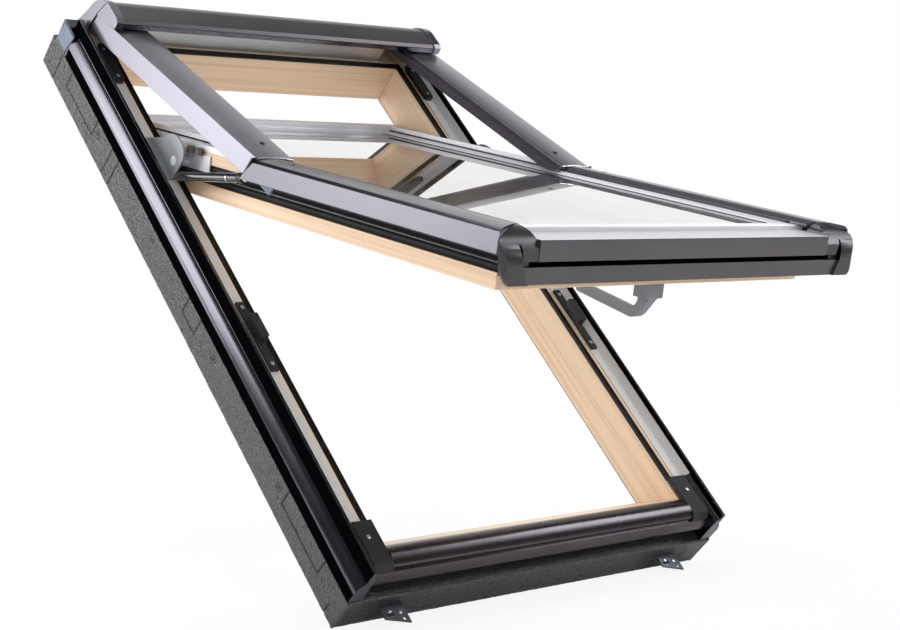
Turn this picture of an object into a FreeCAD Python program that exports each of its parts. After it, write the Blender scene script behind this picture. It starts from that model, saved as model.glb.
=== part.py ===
import FreeCAD, Part
import math
import os
import Sketcher

# Centre-hung roof window, standing at the roof's pitch with the sash swung open.
# Frame system: X across to the right, Y up the slope, Z out of the roof.
# Sash system: the same with Y up the sash and Z through the glass to the outside.
# The whole is turned by the roof's pitch, with the origin under the left bracket.

doc = FreeCAD.newDocument("roof_window")
sheet = doc.addObject("Spreadsheet::Sheet", "sizes")
Z_AXIS = FreeCAD.Vector(0, 0, 1)
X_AXIS = FreeCAD.Vector(1, 0, 0)


class Size:
    """A length or angle with its value and the words that bind it to the sheet."""

    def __init__(self, value, text):
        self.value = value
        self.text = text

    def join(self, other, sign, value):
        text = other.text if isinstance(other, Size) else repr(float(other))
        return Size(value, "(" + self.text + sign + text + ")")

    def __add__(self, other):
        return self.join(other, " + ", self.value + number(other))

    def __sub__(self, other):
        return self.join(other, " - ", self.value - number(other))

    def __mul__(self, other):
        return self.join(other, " * ", self.value * number(other))

    def __truediv__(self, other):
        return self.join(other, " / ", self.value / number(other))

    def __neg__(self):
        return Size(-self.value, "(0 - " + self.text + ")")


def number(item):
    return item.value if isinstance(item, Size) else float(item)


def tangent(angle):
    return Size(math.tan(math.radians(angle.value)), "tan(" + angle.text + ")")


def cosine(angle):
    return Size(math.cos(math.radians(angle.value)), "cos(" + angle.text + ")")


def sine(angle):
    return Size(math.sin(math.radians(angle.value)), "sin(" + angle.text + ")")


def arctangent(ratio):
    return Size(math.degrees(math.atan(ratio.value)), "(atan(" + ratio.text + ") / 1 deg)")


NAMED = [
    # whole window
    ("frame_width", 740), ("frame_height", 1180), ("roof_pitch", 45), ("sash_angle", 35.1),
    # insulating block
    ("block_depth", 58), ("block_wall", 24), ("block_flange", 16),
    # wooden frame
    ("stile_width", 40), ("head_width", 56), ("wood_back", 21), ("seal_seat", 99),
    ("ledge_level", 103), ("seal_width", 12), ("ledge_width", 5), ("sill_front", 60),
    ("sill_back", 113), ("seal_height", 3),
    # rebate strip and covers of the frame
    ("strip_floor", 18), ("strip_rise", 9), ("strip_run", 11), ("strip_skin", 1.8),
    ("crest_level", 122), ("crest_width", 6), ("shoulder_level", 100), ("shoulder_reach", 1),
    ("band_level", 78), ("band_radius", 30), ("cover_gap", 3), ("cover_end", 34),
    ("cover_band_end", 58), ("head_skin", 3), ("sill_crest", 113), ("sill_crest_pos", 40),
    ("groove_pos", 20), ("groove_width", 4), ("groove_level", 98), ("groove_lip", 5),
    ("sill_band_end", 11), ("sill_band_level", 80), ("sill_radius", 34),
    # hood over the head
    ("hood_depth", 106), ("hood_inset", 12), ("hood_lip_gap", 2.8), ("hood_lip_depth", 13),
    ("hood_lip_lean", 4), ("hood_crest_inset", 76), ("hood_skin", 2.5), ("hood_side_gap", 1),
    ("hood_cap_width", 15), ("hood_radius", 55), ("hood_foot", 103), ("hood_bend", 146),
    ("hood_back_lean", 18), ("hood_cap_step", 2), ("hood_nose", 8), ("hood_slot_inset", 50),
    ("hood_slot_lean", 5), ("hood_slot_radius", 110), ("hood_slot_room", 18), ("hood_slot_gap", 2),
    ("hood_rim_width", 2), ("hood_rim_reach", 14), ("hood_rim_depth", 1.5), ("hood_play", 0.5),
    ("hood_face_inset", 62), ("hood_face_skin", 3), ("hood_face_top", 160),
    # arms
    ("arm_reach", 223), ("arm_rise", 44), ("arm_end_level", 111.6), ("arm_width", 65),
    ("arm_height", 36), ("arm_wall", 3), ("arm_crown", 260), ("arm_step", 7), ("arm_skirt", 20),
    ("arm_mitre", 21.2), ("mitre_back", 7), ("arm_tail", 4),
    # sash
    ("sash_play", 5), ("sash_head_gap", 50.8), ("sash_overhang", 16.8), ("sash_wood_low", -19),
    ("sash_wood_edge", 4), ("sash_foot", 60), ("rail_width", 50), ("seal_groove", 12),
    ("seal_groove_top", 34), ("bead_seat", 52), ("bead_top", 63.5), ("bead_width", 18),
    ("glass_low", 30), ("glass_top", 58), ("glass_gap", 2), ("pane", 4), ("spacer_width", 8),
    # covers of the sash
    ("side_reach", 51), ("side_lip_level", 38), ("side_lean", 5), ("side_crest_level", 66),
    ("side_top_inset", 5), ("side_top_level", 72), ("side_inset", 14), ("side_skin", 2.5),
    ("side_radius", 150), ("side_shoulder", 4), ("side_fall", 2), ("side_turn", 4),
    ("band_inset", 1), ("band_low_top", 22.7), ("band_up_low", 29.5), ("band_up_top", 57.6),
    ("band_skin", 3), ("band_groove", 5), ("cap_back", 10), ("cap_front", -4), ("cap_top", 73),
    ("cap_round", 12), ("cap_nose", 22), ("cap_nose_reach", 38), ("cap_nose_radius", 50),
    ("cap_foot_round", 14), ("cap_side_level", 30), ("cap_side_radius", 40), ("cap_heel", 2),
    ("ridge_low", 47), ("ridge_mid", 36), ("ridge_mid_level", 22), ("ridge_high", 26),
    ("ridge_groove", 4), ("ridge_depth", 9), ("lobe_inset", 12), ("lobe_back", 42),
    ("lobe_round", 18), ("lobe_step", 5),
    # brackets, hinges, catches, springs and handle
    ("bracket_inset", 88), ("bracket_width", 41), ("bracket_reach", 31), ("bracket_level", 34),
    ("bracket_skin", 2.5), ("bracket_root", 18), ("bracket_step", 0.5), ("bracket_slant", 12),
    ("bracket_hole", 2.75), ("bracket_hole_x", 12), ("bracket_hole_y", -23), ("slot_length", 13),
    ("slot_width", 6), ("slot_pos", -17), ("slot_gap", 3), ("pivot_drop", 380),
    ("pivot_level", 128), ("pivot_rise", 30.8), ("hinge_length", 111), ("hinge_skin", 3),
    ("hinge_low", 9), ("hinge_high", 17), ("hinge_fore", 68), ("hinge_slant", 23),
    ("pivot_radius", 8), ("pivot_play", 0.05), ("ear_inset", 3), ("ear_height", 37),
    ("ear_fore", 20), ("ear_aft", 75), ("ear_crown", 8), ("ear_nose", 20), ("ear_heel", 46),
    ("ear_radius", 24), ("ear_back_radius", 40), ("catch_pos", 377), ("catch_length", 136),
    ("catch_width", 14), ("catch_height", 5), ("latch_pos", 430), ("latch_height", 22),
    ("latch_length", 46), ("corner_end", 98), ("corner_height", 8), ("spring_radius", 7.5),
    ("spring_drop", 25), ("spring_level", 118), ("spring_reach", 198.8), ("spring_rise", 35),
    ("spring_inset", 45), ("handle_inset", 2), ("handle_depth", 24), ("handle_base", 21),
    ("handle_base_width", 36), ("handle_width", 16), ("handle_drop", 54), ("handle_neck", 45),
    ("handle_lean", 18), ("handle_elbow", 35), ("handle_reach", 143), ("handle_rise", 14),
    ("handle_bar", 13), ("handle_round", 25), ("handle_tip", 7), ("handle_crook", 16),
]
V = {}
for row, (name, value) in enumerate(NAMED, start=1):
    sheet.set("A" + str(row), name)
    sheet.set("B" + str(row), str(value))
    sheet.setAlias("B" + str(row), name)
    V[name] = Size(float(value), "sizes." + name)
ZERO = Size(0.0, "0")
doc.recompute()

# sizes across the window
v = V
half = v["frame_width"] / 2
wood_out = half - v["block_wall"]
opening = wood_out - v["stile_width"]
seat_x = opening + v["seal_width"]
strip_x = seat_x + v["ledge_width"]
bend_x = strip_x + v["strip_floor"]
rise_x = bend_x + v["strip_run"]
edge = opening - v["sash_play"]
inner = edge - v["rail_width"]
lip = edge + v["side_reach"]
hood_out_x = wood_out - v["hood_side_gap"]
hood_half = hood_out_x - v["hood_cap_width"]
arm_out = hood_out_x - v["hood_skin"] - v["hood_play"]
arm_in = arm_out - v["arm_width"]
bracket_pos = half - v["bracket_inset"]

# places along the window
top = v["frame_height"]
low_end = v["block_wall"]
high_end = top - v["block_wall"]
head_inner = high_end - v["head_width"]
head_seat = head_inner + v["seal_width"]
back = top - v["hood_inset"]
front = back - v["hood_depth"]
slot = top - v["hood_slot_inset"]
pivot, level = top - v["pivot_drop"], v["pivot_level"]

# the sash turns about its pivot, and its own zero lies at its foot
turn = v["sash_angle"]
pivot_s, pivot_m = pivot + v["sash_overhang"], v["pivot_rise"]
end = pivot_s + head_inner - pivot - v["sash_head_gap"]


def on_frame(along, rise):
    """Place in the frame's plane and level over it of a point of the sash."""
    run, lift = along - pivot_s, rise - pivot_m
    return pivot + run * cosine(turn) + lift * sine(turn), level - run * sine(turn) + lift * cosine(turn)


joint_s, joint_m = pivot_s - v["arm_reach"], v["arm_rise"]
joint_u, joint_n = on_frame(joint_s, joint_m)
arm_turn = arctangent((joint_n - v["arm_end_level"]) / (slot - joint_u))
arm_length = (slot - joint_u) / cosine(arm_turn)
spring_u = pivot - v["spring_drop"]
spring_far_u, spring_far_n = on_frame(pivot_s - v["spring_reach"], v["spring_rise"])
spring_turn = arctangent((spring_far_n - v["spring_level"]) / (spring_u - spring_far_u))
spring_length = (spring_u - spring_far_u) / cosine(spring_turn)

PLANES = {"across": "YZ_Plane", "along": "XZ_Plane", "face": "XY_Plane"}


def place(thing, angle, base_u, base_n):
    """Turns a solid about X and sets it at a point of the frame, as seen from the left bracket."""
    pitch = V["roof_pitch"]
    u = base_u + V["bracket_reach"] / 2
    n = base_n - (V["bracket_level"] - V["bracket_skin"])
    spots = {
        "Placement.Base.x": bracket_pos,
        "Placement.Base.y": u * cosine(pitch) - n * sine(pitch),
        "Placement.Base.z": u * sine(pitch) + n * cosine(pitch),
        "Placement.Rotation.Angle": pitch - angle,
    }
    turn = FreeCAD.Rotation(X_AXIS, spots["Placement.Rotation.Angle"].value)
    spot = FreeCAD.Vector(*[spots["Placement.Base." + c].value for c in "xyz"])
    thing.Placement = FreeCAD.Placement(spot, turn)
    for path, size in spots.items():
        thing.setExpression(path, size.text)


FRAME = (ZERO, ZERO, ZERO)
SASH = (turn,) + on_frame(ZERO, ZERO)
ARM = (arm_turn, joint_u, joint_n)
SPRING = (spring_turn, spring_u, v["spring_level"])


def arc(start, end, radius):
    """Arc from start to end, bulging to the right of its way where the radius is positive."""
    middle = (start + end) * 0.5
    half = (end - start).Length / 2
    way = (end - start).normalize()
    left = FreeCAD.Vector(-way.y, way.x, 0) * (1 if radius > 0 else -1)
    centre = middle + left * math.sqrt(max(radius * radius - half * half, 0.0))
    first, last = (start, end) if radius > 0 else (end, start)
    low = math.atan2(first.y - centre.y, first.x - centre.x)
    high = math.atan2(last.y - centre.y, last.x - centre.x)
    if high < low:
        high += 2 * math.pi
    return Part.ArcOfCircle(Part.Circle(centre, Z_AXIS, abs(radius)), low, high)


def bind(sketch, index, size):
    if isinstance(size, Size):
        sketch.setExpression("Constraints[" + str(index) + "]", size.text)


def hold(sketch, edge, spot, x, y):
    """Ties one point of an edge to its two distances from the sketch's origin."""
    for way, size in (("DistanceX", x), ("DistanceY", y)):
        rule = Sketcher.Constraint(way, -1, 1, edge, spot, number(size))
        bind(sketch, sketch.addConstraint(rule), size)


def sketch_on(body, plane, level, outline, name):
    """Sketch of a closed outline or of circles, on a plane of the body set off to a level."""
    sketch = body.newObject("Sketcher::SketchObject", name)
    base = [f for f in body.Origin.OriginFeatures if f.Role == PLANES[plane]][0]
    sketch.AttachmentSupport = [(base, "")]
    sketch.MapMode = "FlatFace"
    offset = -level if plane == "along" else level
    sketch.AttachmentOffset = FreeCAD.Placement(FreeCAD.Vector(0, 0, number(offset)), FreeCAD.Rotation())
    if isinstance(offset, Size):
        sketch.setExpression("AttachmentOffset.Base.z", offset.text)
    if isinstance(outline, list) and isinstance(outline[0], tuple) and outline[0][0] == "circle":
        for _, x, y, r in outline:
            centre = FreeCAD.Vector(number(x), number(y), 0)
            edge = sketch.addGeometry(Part.Circle(centre, Z_AXIS, number(r)), False)
            hold(sketch, edge, 3, x, y)
            bind(sketch, sketch.addConstraint(Sketcher.Constraint("Radius", edge, number(r))), r)
        return sketch
    points = [FreeCAD.Vector(number(p[0]), number(p[1]), 0) for p in outline]
    count = len(points)
    ends = []
    for i, point in enumerate(outline):
        start, end = points[i], points[(i + 1) % count]
        if len(point) == 3:
            edge = sketch.addGeometry(arc(start, end, number(point[2])), False)
            size = point[2] if number(point[2]) > 0 else -point[2]
            bind(sketch, sketch.addConstraint(Sketcher.Constraint("Radius", edge, number(size))), size)
            ends.append((edge, 1, 2) if number(point[2]) > 0 else (edge, 2, 1))
        else:
            ends.append((sketch.addGeometry(Part.LineSegment(start, end), False), 1, 2))
    for i in range(count):
        edge, _, last = ends[i - 1]
        after, first, _ = ends[i]
        sketch.addConstraint(Sketcher.Constraint("Coincident", edge, last, after, first))
        hold(sketch, after, first, outline[i][0], outline[i][1])
    return sketch


def stretch(feature, length):
    feature.Length = number(length)
    if isinstance(length, Size):
        feature.setExpression("Length", length.text)


def solid(label, plane, outline, start, stop, where):
    """Body made from one outline, padded from one level to the other."""
    body = doc.addObject("PartDesign::Body", label)
    body.Label = label
    sketch = sketch_on(body, plane, stop if plane == "along" else start, outline, label + "_outline")
    pad = body.newObject("PartDesign::Pad", label + "_pad")
    pad.Profile = sketch
    stretch(pad, stop - start)
    place(body, *where)
    body.Tip = pad
    doc.recompute()
    return body


def carve(body, plane, outline, start, stop):
    """Pocket in a body between two levels."""
    name = body.Label + "_cut" + str(len(body.Group))
    before = body.Shape.Volume
    sketch = sketch_on(body, plane, start if plane == "along" else stop, outline, name + "_outline")
    pocket = body.newObject("PartDesign::Pocket", name)
    pocket.Profile = sketch
    stretch(pocket, stop - start)
    body.Tip = pocket
    doc.recompute()
    if not body.Shape.Volume < before - 1e-6:
        raise ValueError("no material was cut from " + body.Label)
    return body


def extend(body, plane, outline, start, stop):
    """Pad that adds to a body between two levels."""
    name = body.Label + "_add" + str(len(body.Group))
    sketch = sketch_on(body, plane, stop if plane == "along" else start, outline, name + "_outline")
    pad = body.newObject("PartDesign::Pad", name)
    pad.Profile = sketch
    stretch(pad, stop - start)
    body.Tip = pad
    doc.recompute()
    return body


def box(x0, y0, x1, y1):
    return [(x0, y0), (x1, y0), (x1, y1), (x0, y1)]


def mirrored(outline):
    """The outline of the other side: X turned about and the order kept counter-clockwise."""
    if outline[0][0] == "circle":
        return [("circle", -x, y, r) for _, x, y, r in outline]
    turned = []
    for i in range(len(outline) - 1, -1, -1):
        before = outline[i - 1]
        turned.append((-outline[i][0], outline[i][1]) + tuple(before[2:]))
    return turned


def pair(label, plane, outline, start, stop, where):
    """Left and right copies of a solid whose outline holds X."""
    right = solid(label + "_right", plane, outline, start, stop, where)
    left = solid(label + "_left", plane, mirrored(outline), start, stop, where)
    return left, right


def side_pair(label, outline, inner, outer, where):
    """Left and right copies of a solid whose outline is seen from the side."""
    right = solid(label + "_right", "across", outline, inner, outer, where)
    left = solid(label + "_left", "across", outline, -outer, -inner, where)
    return left, right


def carve_pair(bodies, plane, outline, start, stop):
    """The same pocket in a left and a right body, given for the right one."""
    left, right = bodies
    carve(right, plane, outline, start, stop)
    if plane == "across":
        carve(left, plane, outline, -stop, -start)
    else:
        carve(left, plane, mirrored(outline), start, stop)


def extend_pair(bodies, plane, outline, start, stop):
    """The same pad on a left and a right body, given for the right one."""
    left, right = bodies
    extend(right, plane, outline, start, stop)
    if plane == "across":
        extend(left, plane, outline, -stop, -start)
    else:
        extend(left, plane, mirrored(outline), start, stop)


flange_in = wood_out - v["block_flange"]

# insulating block round the frame
blocks = pair("block", "along",
              [(flange_in, ZERO), (half, ZERO), (half, v["block_depth"]), (wood_out, v["block_depth"]),
               (wood_out, v["wood_back"]), (flange_in, v["wood_back"])], ZERO, top, FRAME)
for end_low, end_high in ((ZERO, low_end), (high_end, top)):
    carve_pair(blocks, "face", box(flange_in, end_low, wood_out, end_high), ZERO, v["wood_back"])
block_bottom = solid("block_bottom", "across", box(ZERO, ZERO, low_end, v["block_depth"]),
                     -wood_out, wood_out, FRAME)
solid("block_top", "across", box(high_end, ZERO, top, v["block_depth"]), -wood_out, wood_out, FRAME)

# brackets that carry the window, each let into the lower block
for side, centre in (("left", -bracket_pos), ("right", bracket_pos)):
    low_x = centre - v["bracket_width"] / 2
    high_x = centre + v["bracket_width"] / 2
    under = v["bracket_level"] - v["bracket_skin"]
    bracket = solid("bracket_" + side, "face",
                    [(low_x, v["bracket_slant"] - v["bracket_reach"]), (high_x, -v["bracket_reach"]),
                     (high_x, v["bracket_root"]), (low_x, v["bracket_root"])],
                    under, v["bracket_level"], FRAME)
    carve(bracket, "face", box(low_x, ZERO, high_x, v["bracket_root"]), under, under + v["bracket_step"])
    hole_x = centre + v["bracket_hole_x"]
    carve(bracket, "face", [("circle", hole_x, v["bracket_hole_y"], v["bracket_hole"])],
          under, v["bracket_level"])
    slot_x = centre - v["slot_gap"] - v["slot_length"]
    slot_y = v["slot_pos"]
    carve(bracket, "face", box(slot_x, slot_y, slot_x + v["slot_length"], slot_y + v["slot_width"]),
          under, v["bracket_level"])
    carve(block_bottom, "face", box(low_x, ZERO, high_x, v["bracket_root"]), under + v["bracket_step"],
          v["bracket_level"])

# wooden frame
pair("frame_stile", "along",
     [(opening, v["wood_back"]), (wood_out, v["wood_back"]), (wood_out, v["ledge_level"]),
      (seat_x, v["ledge_level"]), (seat_x, v["seal_seat"]), (opening, v["seal_seat"])],
     low_end, high_end, FRAME)
solid("frame_sill", "across",
      [(low_end, v["wood_back"]), (v["sill_back"], v["wood_back"]), (v["sill_front"], v["seal_seat"]),
       (low_end, v["seal_seat"])], -opening, opening, FRAME)
solid("frame_head", "across",
      [(head_inner, v["wood_back"]), (high_end, v["wood_back"]), (high_end, v["ledge_level"]),
       (head_seat, v["ledge_level"]), (head_seat, v["seal_seat"]), (head_inner, v["seal_seat"])],
      -opening, opening, FRAME)

# seal round the frame's opening
seal_top, seal_end = v["seal_seat"] + v["seal_height"], v["corner_end"]
solid("frame_seal", "face",
      [(-seat_x, seal_end), (-opening, seal_end), (-opening, head_inner), (opening, head_inner),
       (opening, seal_end), (seat_x, seal_end), (seat_x, head_seat), (-seat_x, head_seat)],
      v["seal_seat"], seal_top, FRAME)

# rebate strips
floor_n = v["ledge_level"]
skin = v["strip_skin"]
strip_top = floor_n + skin
rise_n = floor_n + v["strip_rise"]
pair("rebate_strip", "along",
     [(strip_x, floor_n), (bend_x, floor_n), (rise_x, rise_n), (rise_x, rise_n + skin),
      (bend_x - skin / 2, strip_top), (strip_x, strip_top)],
     v["corner_end"], head_seat, FRAME)

# corner plates over the lower corners of the rebate, bent down over the ends of the stiles
corner_top = floor_n + v["corner_height"]
groove_in = v["groove_pos"] - v["groove_width"]
side_pair("corner_plate",
          [(groove_in, v["groove_level"]), (low_end, v["groove_level"]), (low_end, floor_n),
           (v["corner_end"], floor_n), (v["corner_end"], corner_top), (low_end, corner_top),
           (groove_in, floor_n)], opening, bend_x, FRAME)

# glossy covers of the frame
crest_out = rise_x + v["crest_width"]
shoulder_x = crest_out + v["shoulder_reach"]
cover_end, band_end = top - v["cover_end"], top - v["cover_band_end"]
frame_covers = pair("frame_cover", "along",
                    [(wood_out, v["block_depth"]), (half, v["block_depth"]),
                     (half, v["band_level"], v["band_radius"]), (shoulder_x, v["shoulder_level"]),
                     (crest_out, v["crest_level"]), (rise_x, v["crest_level"]), (rise_x, rise_n),
                     (wood_out, floor_n + v["strip_rise"] * (wood_out - bend_x) / v["strip_run"])],
                    v["cover_gap"], cover_end, FRAME)
carve_pair(frame_covers, "face", box(shoulder_x, band_end, half, cover_end), v["block_depth"],
           v["shoulder_level"])
crest_tip = (v["sill_crest_pos"], v["sill_crest"], v["sill_radius"])
sill_cover = solid("sill_cover", "across",
                   [(low_end, v["block_depth"]), (low_end, v["seal_seat"]),
                    (v["sill_front"], v["seal_seat"], v["sill_radius"]), crest_tip,
                    (v["groove_pos"], v["seal_seat"] + v["groove_lip"]),
                    (v["groove_pos"], v["groove_level"]),
                    (groove_in, v["groove_level"], v["sill_radius"]),
                    (v["sill_band_end"], v["sill_band_level"])], -opening, opening, FRAME)
sill_band = [(low_end, v["block_depth"]), (low_end, v["groove_level"]),
             (groove_in, v["groove_level"], v["sill_radius"]), (v["sill_band_end"], v["sill_band_level"])]
extend(sill_cover, "across", sill_band, -wood_out, -opening)
extend(sill_cover, "across", sill_band, opening, wood_out)
head_cover = solid("head_cover", "across",
                   [(high_end, v["block_depth"]), (top, v["block_depth"]),
                    (top, v["band_level"], v["band_radius"]), (back, v["hood_foot"]),
                    (high_end, v["hood_foot"])], -wood_out, wood_out, FRAME)
head_side = box(cover_end, v["block_depth"], back, v["hood_foot"])
head_tongue = box(band_end, v["block_depth"], cover_end, v["hood_foot"])
tongue_x = half - v["head_skin"]
for near_x, far_x, outline in ((wood_out, half, head_side), (tongue_x, half, head_tongue)):
    extend(head_cover, "across", outline, near_x, far_x)
    extend(head_cover, "across", outline, -far_x, -near_x)

# hood
hood_skin = v["hood_skin"]
hood_crest = top - v["hood_crest_inset"]
arm_slope = tangent(arm_turn)
arm_low = v["arm_end_level"]
arm_high = arm_low + v["arm_height"] / cosine(arm_turn)
lip_high = arm_high + (slot - front) * arm_slope
hood_lip_low = lip_high + v["hood_lip_gap"]
hood_lip_high = hood_lip_low + v["hood_lip_depth"]
hood_top = hood_lip_high + v["hood_lip_lean"]
hood_back = back - v["hood_back_lean"]
cap_step, slot_gap = v["hood_cap_step"], v["hood_slot_gap"]
hood_end = [(back, v["hood_foot"]), (hood_back, v["hood_bend"], v["hood_radius"]), (hood_crest, hood_top),
            (front + v["hood_nose"], hood_top), (front, hood_lip_high)]
solid("hood_shell", "across",
      [(back - cap_step, v["hood_foot"]), (hood_back - cap_step, v["hood_bend"], v["hood_radius"]),
       (hood_crest, hood_top - cap_step), (front + v["hood_nose"], hood_top - cap_step),
       (front + cap_step, hood_lip_high - cap_step), (front + cap_step, hood_lip_low),
       (front + cap_step + hood_skin, hood_lip_low),
       (front + cap_step + hood_skin, hood_lip_high - cap_step - hood_skin / 2),
       (front + v["hood_nose"], hood_top - cap_step - hood_skin),
       (hood_crest, hood_top - cap_step - hood_skin, hood_skin - v["hood_radius"]),
       (hood_back - cap_step - hood_skin, v["hood_bend"]), (back - cap_step - hood_skin, v["hood_foot"])],
      -hood_half, hood_half, FRAME)
hood_caps = side_pair("hood_cap",
                      hood_end + [(front, lip_high + slot_gap),
                                  (slot - v["hood_slot_lean"], arm_high + slot_gap,
                                   -v["hood_slot_radius"]),
                                  (slot, arm_low - slot_gap), (slot + cap_step, v["hood_foot"])],
                      hood_half, hood_half + v["hood_cap_width"], FRAME)
slot_far = slot + v["hood_slot_room"]
slot_drop = (slot_far - slot) * arm_slope
slot_room = [(front, arm_low - slot_gap), (slot_far, arm_low - slot_drop - slot_gap),
             (slot_far, arm_high - slot_drop + slot_gap), (front, lip_high + slot_gap)]
carve_pair(hood_caps, "across", slot_room, hood_half, arm_out + v["hood_play"])
rim_low, rim_high = slot - v["hood_slot_lean"], slot - v["hood_slot_lean"] - v["hood_rim_reach"]
carve_pair(hood_caps, "across",
           [(rim_low, arm_high), (rim_low + v["hood_rim_width"], arm_high),
            (rim_high + v["hood_rim_width"], hood_lip_high), (rim_high, hood_lip_high)],
           hood_out_x - v["hood_rim_depth"], hood_out_x)
face_x = arm_in - v["arm_step"] - 2
face_u = top - v["hood_face_inset"]
solid("hood_face", "across",
      box(face_u - v["hood_face_skin"], v["hood_foot"], face_u, v["hood_face_top"]),
      -face_x, face_x, FRAME)

# arms between the hood and the sash
wall = v["arm_wall"]
height, step = v["arm_height"], v["arm_step"]
step_x, step_y, skirt = arm_in - step, height - step, height - v["arm_skirt"]
arms = pair("arm", "along",
            [(arm_out - wall, ZERO), (arm_out, ZERO), (arm_out, height, v["arm_crown"]), (arm_in, height),
             (arm_in, step_y), (step_x, step_y), (step_x, skirt), (step_x + wall, skirt),
             (step_x + wall, step_y - wall), (arm_in + wall, step_y - wall),
             (arm_in + wall, height - wall), (arm_out - wall, height - wall)],
            -height - v["arm_tail"], arm_length, ARM)
lift = turn - arm_turn
cut_run = tangent(v["arm_mitre"])
cut_start = (sine(lift) * cut_run - cosine(lift)) * v["mitre_back"]
carve_pair(arms, "across", [(-height * 2, -step), (cut_start + cut_run * step, -step),
                            (cut_start - cut_run * (height + step), height + step),
                            (-height * 2, height + step)], ZERO, half)
over_bead = (v["bead_top"] + v["hood_play"] - joint_m) / cosine(lift)
carve_pair(arms, "across", [(-height * 2, ZERO), (over_bead / tangent(lift), ZERO),
                            (-height * 2, over_bead + height * 2 * tangent(lift))],
           arm_in - step * 2, arm_in + step * 2)

# sash wood
low, foot = v["sash_wood_low"], v["sash_foot"]
bead_width, glass_low, glass_top = v["bead_width"], v["glass_low"], v["glass_top"]
bead_in = edge - bead_width
groove_x = edge - v["seal_groove"]
pair("sash_stile", "along",
     [(inner, low), (edge, low), (edge, v["sash_wood_edge"]), (groove_x, v["sash_wood_edge"]),
      (groove_x, v["seal_groove_top"]), (edge, v["seal_groove_top"]), (edge, v["bead_seat"]),
      (bead_in, v["bead_seat"]), (bead_in, glass_low), (inner, glass_low)], foot, end, SASH)
rail = v["rail_width"]
solid("sash_foot", "across",
      [(foot, low), (foot + rail, low), (foot + rail, glass_low), (foot + bead_width, glass_low),
       (foot + bead_width, v["bead_seat"]), (foot, v["bead_seat"])], -inner, inner, SASH)
solid("sash_head", "across",
      [(end - rail, low), (end, low), (end, v["bead_seat"]), (end - bead_width, v["bead_seat"]),
       (end - bead_width, glass_low), (end - rail, glass_low)], -inner, inner, SASH)

# glazing
bead = solid("glazing_bead", "face", box(-edge, foot, edge, end), v["bead_seat"], v["bead_top"], SASH)
carve(bead, "face", box(-bead_in, foot + bead_width, bead_in, end - bead_width),
      v["bead_seat"], v["bead_top"])
gap = v["glass_gap"]
glass_x = bead_in - gap
glass_a, glass_b = foot + bead_width + gap, end - bead_width - gap
pane = v["pane"]
sheet_outline = box(-glass_x, glass_a, glass_x, glass_b)
solid("glass_inner", "face", sheet_outline, glass_low, glass_low + pane, SASH)
solid("glass_outer", "face", sheet_outline, glass_top - pane, glass_top, SASH)
line = v["spacer_width"]
spacer = solid("glass_spacer", "face", sheet_outline, glass_low + pane, glass_top - pane, SASH)
carve(spacer, "face", box(line - glass_x, glass_a + line, glass_x - line, glass_b - line),
      glass_low + pane, glass_top - pane)

# covers of the sash
mitre_run = tangent(v["arm_mitre"] + lift)
mitre_s = joint_s - v["mitre_back"]
crest, flat, side_skin = lip - v["side_lean"], v["side_top_level"], v["side_skin"]
shoulder, fall, bend = crest - v["side_shoulder"], flat - v["side_fall"], flat - v["side_turn"]
side_top_in, side_inner = edge - v["side_top_inset"], edge - v["side_inset"]
covers = pair("side_cover", "along",
              [(lip - side_skin, v["side_lip_level"]), (lip, v["side_lip_level"]),
               (crest, v["side_crest_level"]), (shoulder, fall, v["side_radius"]), (side_top_in, flat),
               (side_inner, bend), (side_inner, v["bead_top"]), (side_inner + side_skin, v["bead_top"]),
               (side_inner + side_skin, bend - side_skin / 2), (side_top_in, flat - side_skin),
               (shoulder - side_skin / 2, fall - side_skin),
               (crest - side_skin, v["side_crest_level"] - side_skin / 2)],
              v["cap_back"], joint_s + v["side_lip_level"], SASH)
mitre_low, mitre_high = v["side_lip_level"] - side_skin, flat + side_skin
carve_pair(covers, "across",
           [(mitre_s - (mitre_low - joint_m) * mitre_run, mitre_low), (joint_s + half, mitre_low),
            (joint_s + half, mitre_high), (mitre_s - (mitre_high - joint_m) * mitre_run, mitre_high)],
           ZERO, half)

# bands along the foot of the sash
shell, groove = v["band_skin"], v["band_groove"]
band_half = edge - v["band_inset"]
lobe_x = band_half - v["lobe_inset"]
low_top, up_low, up_top = v["band_low_top"], v["band_up_low"], v["band_up_top"]
foot_profile = solid("foot_profile", "across",
                     [(ZERO, ZERO), (foot, ZERO), (foot, shell), (shell, shell), (shell, low_top - 2),
                      (groove + shell, low_top), (groove + shell, up_low), (shell, up_low + 2),
                      (shell, up_top - shell), (foot, up_top - shell), (foot, up_top), (ZERO, up_top),
                      (ZERO, up_low), (groove, up_low - shell / 2), (groove, low_top + shell / 2),
                      (ZERO, low_top)], -band_half, band_half, SASH)

# corner caps: a rounded rim with a ridge, and behind the ridge's groove a lobe over the end of the bands
cap_front, cap_top = v["cap_front"], v["cap_top"]
ridge_low, ridge_mid, ridge_high = lip - v["ridge_low"], lip - v["ridge_mid"], lip - v["ridge_high"]
ridge_level = v["ridge_mid_level"]
ridge_run = (ridge_high - ridge_mid) / (cap_top - ridge_level)
bed_x = ridge_mid - v["ridge_groove"] + ridge_run * (up_low - ridge_level)
room = box(lobe_x, up_low, band_half, up_top)
wedge = [(band_half, ZERO), (ridge_low, ZERO), (ridge_mid, ridge_level), (ridge_mid, low_top),
         (band_half, low_top)]
for side in (lambda outline: outline, mirrored):
    carve(foot_profile, "along", side(room), ZERO, foot)
    extend(foot_profile, "along", side(wedge), ZERO, shell)
caps = pair("corner_cap", "face",
            [(lobe_x, cap_front), (lip - v["cap_round"], cap_front, v["cap_round"]),
             (lip, cap_front + v["cap_round"]), (lip, v["cap_back"]), (lobe_x, v["lobe_back"])],
            ZERO, cap_top, SASH)
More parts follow.
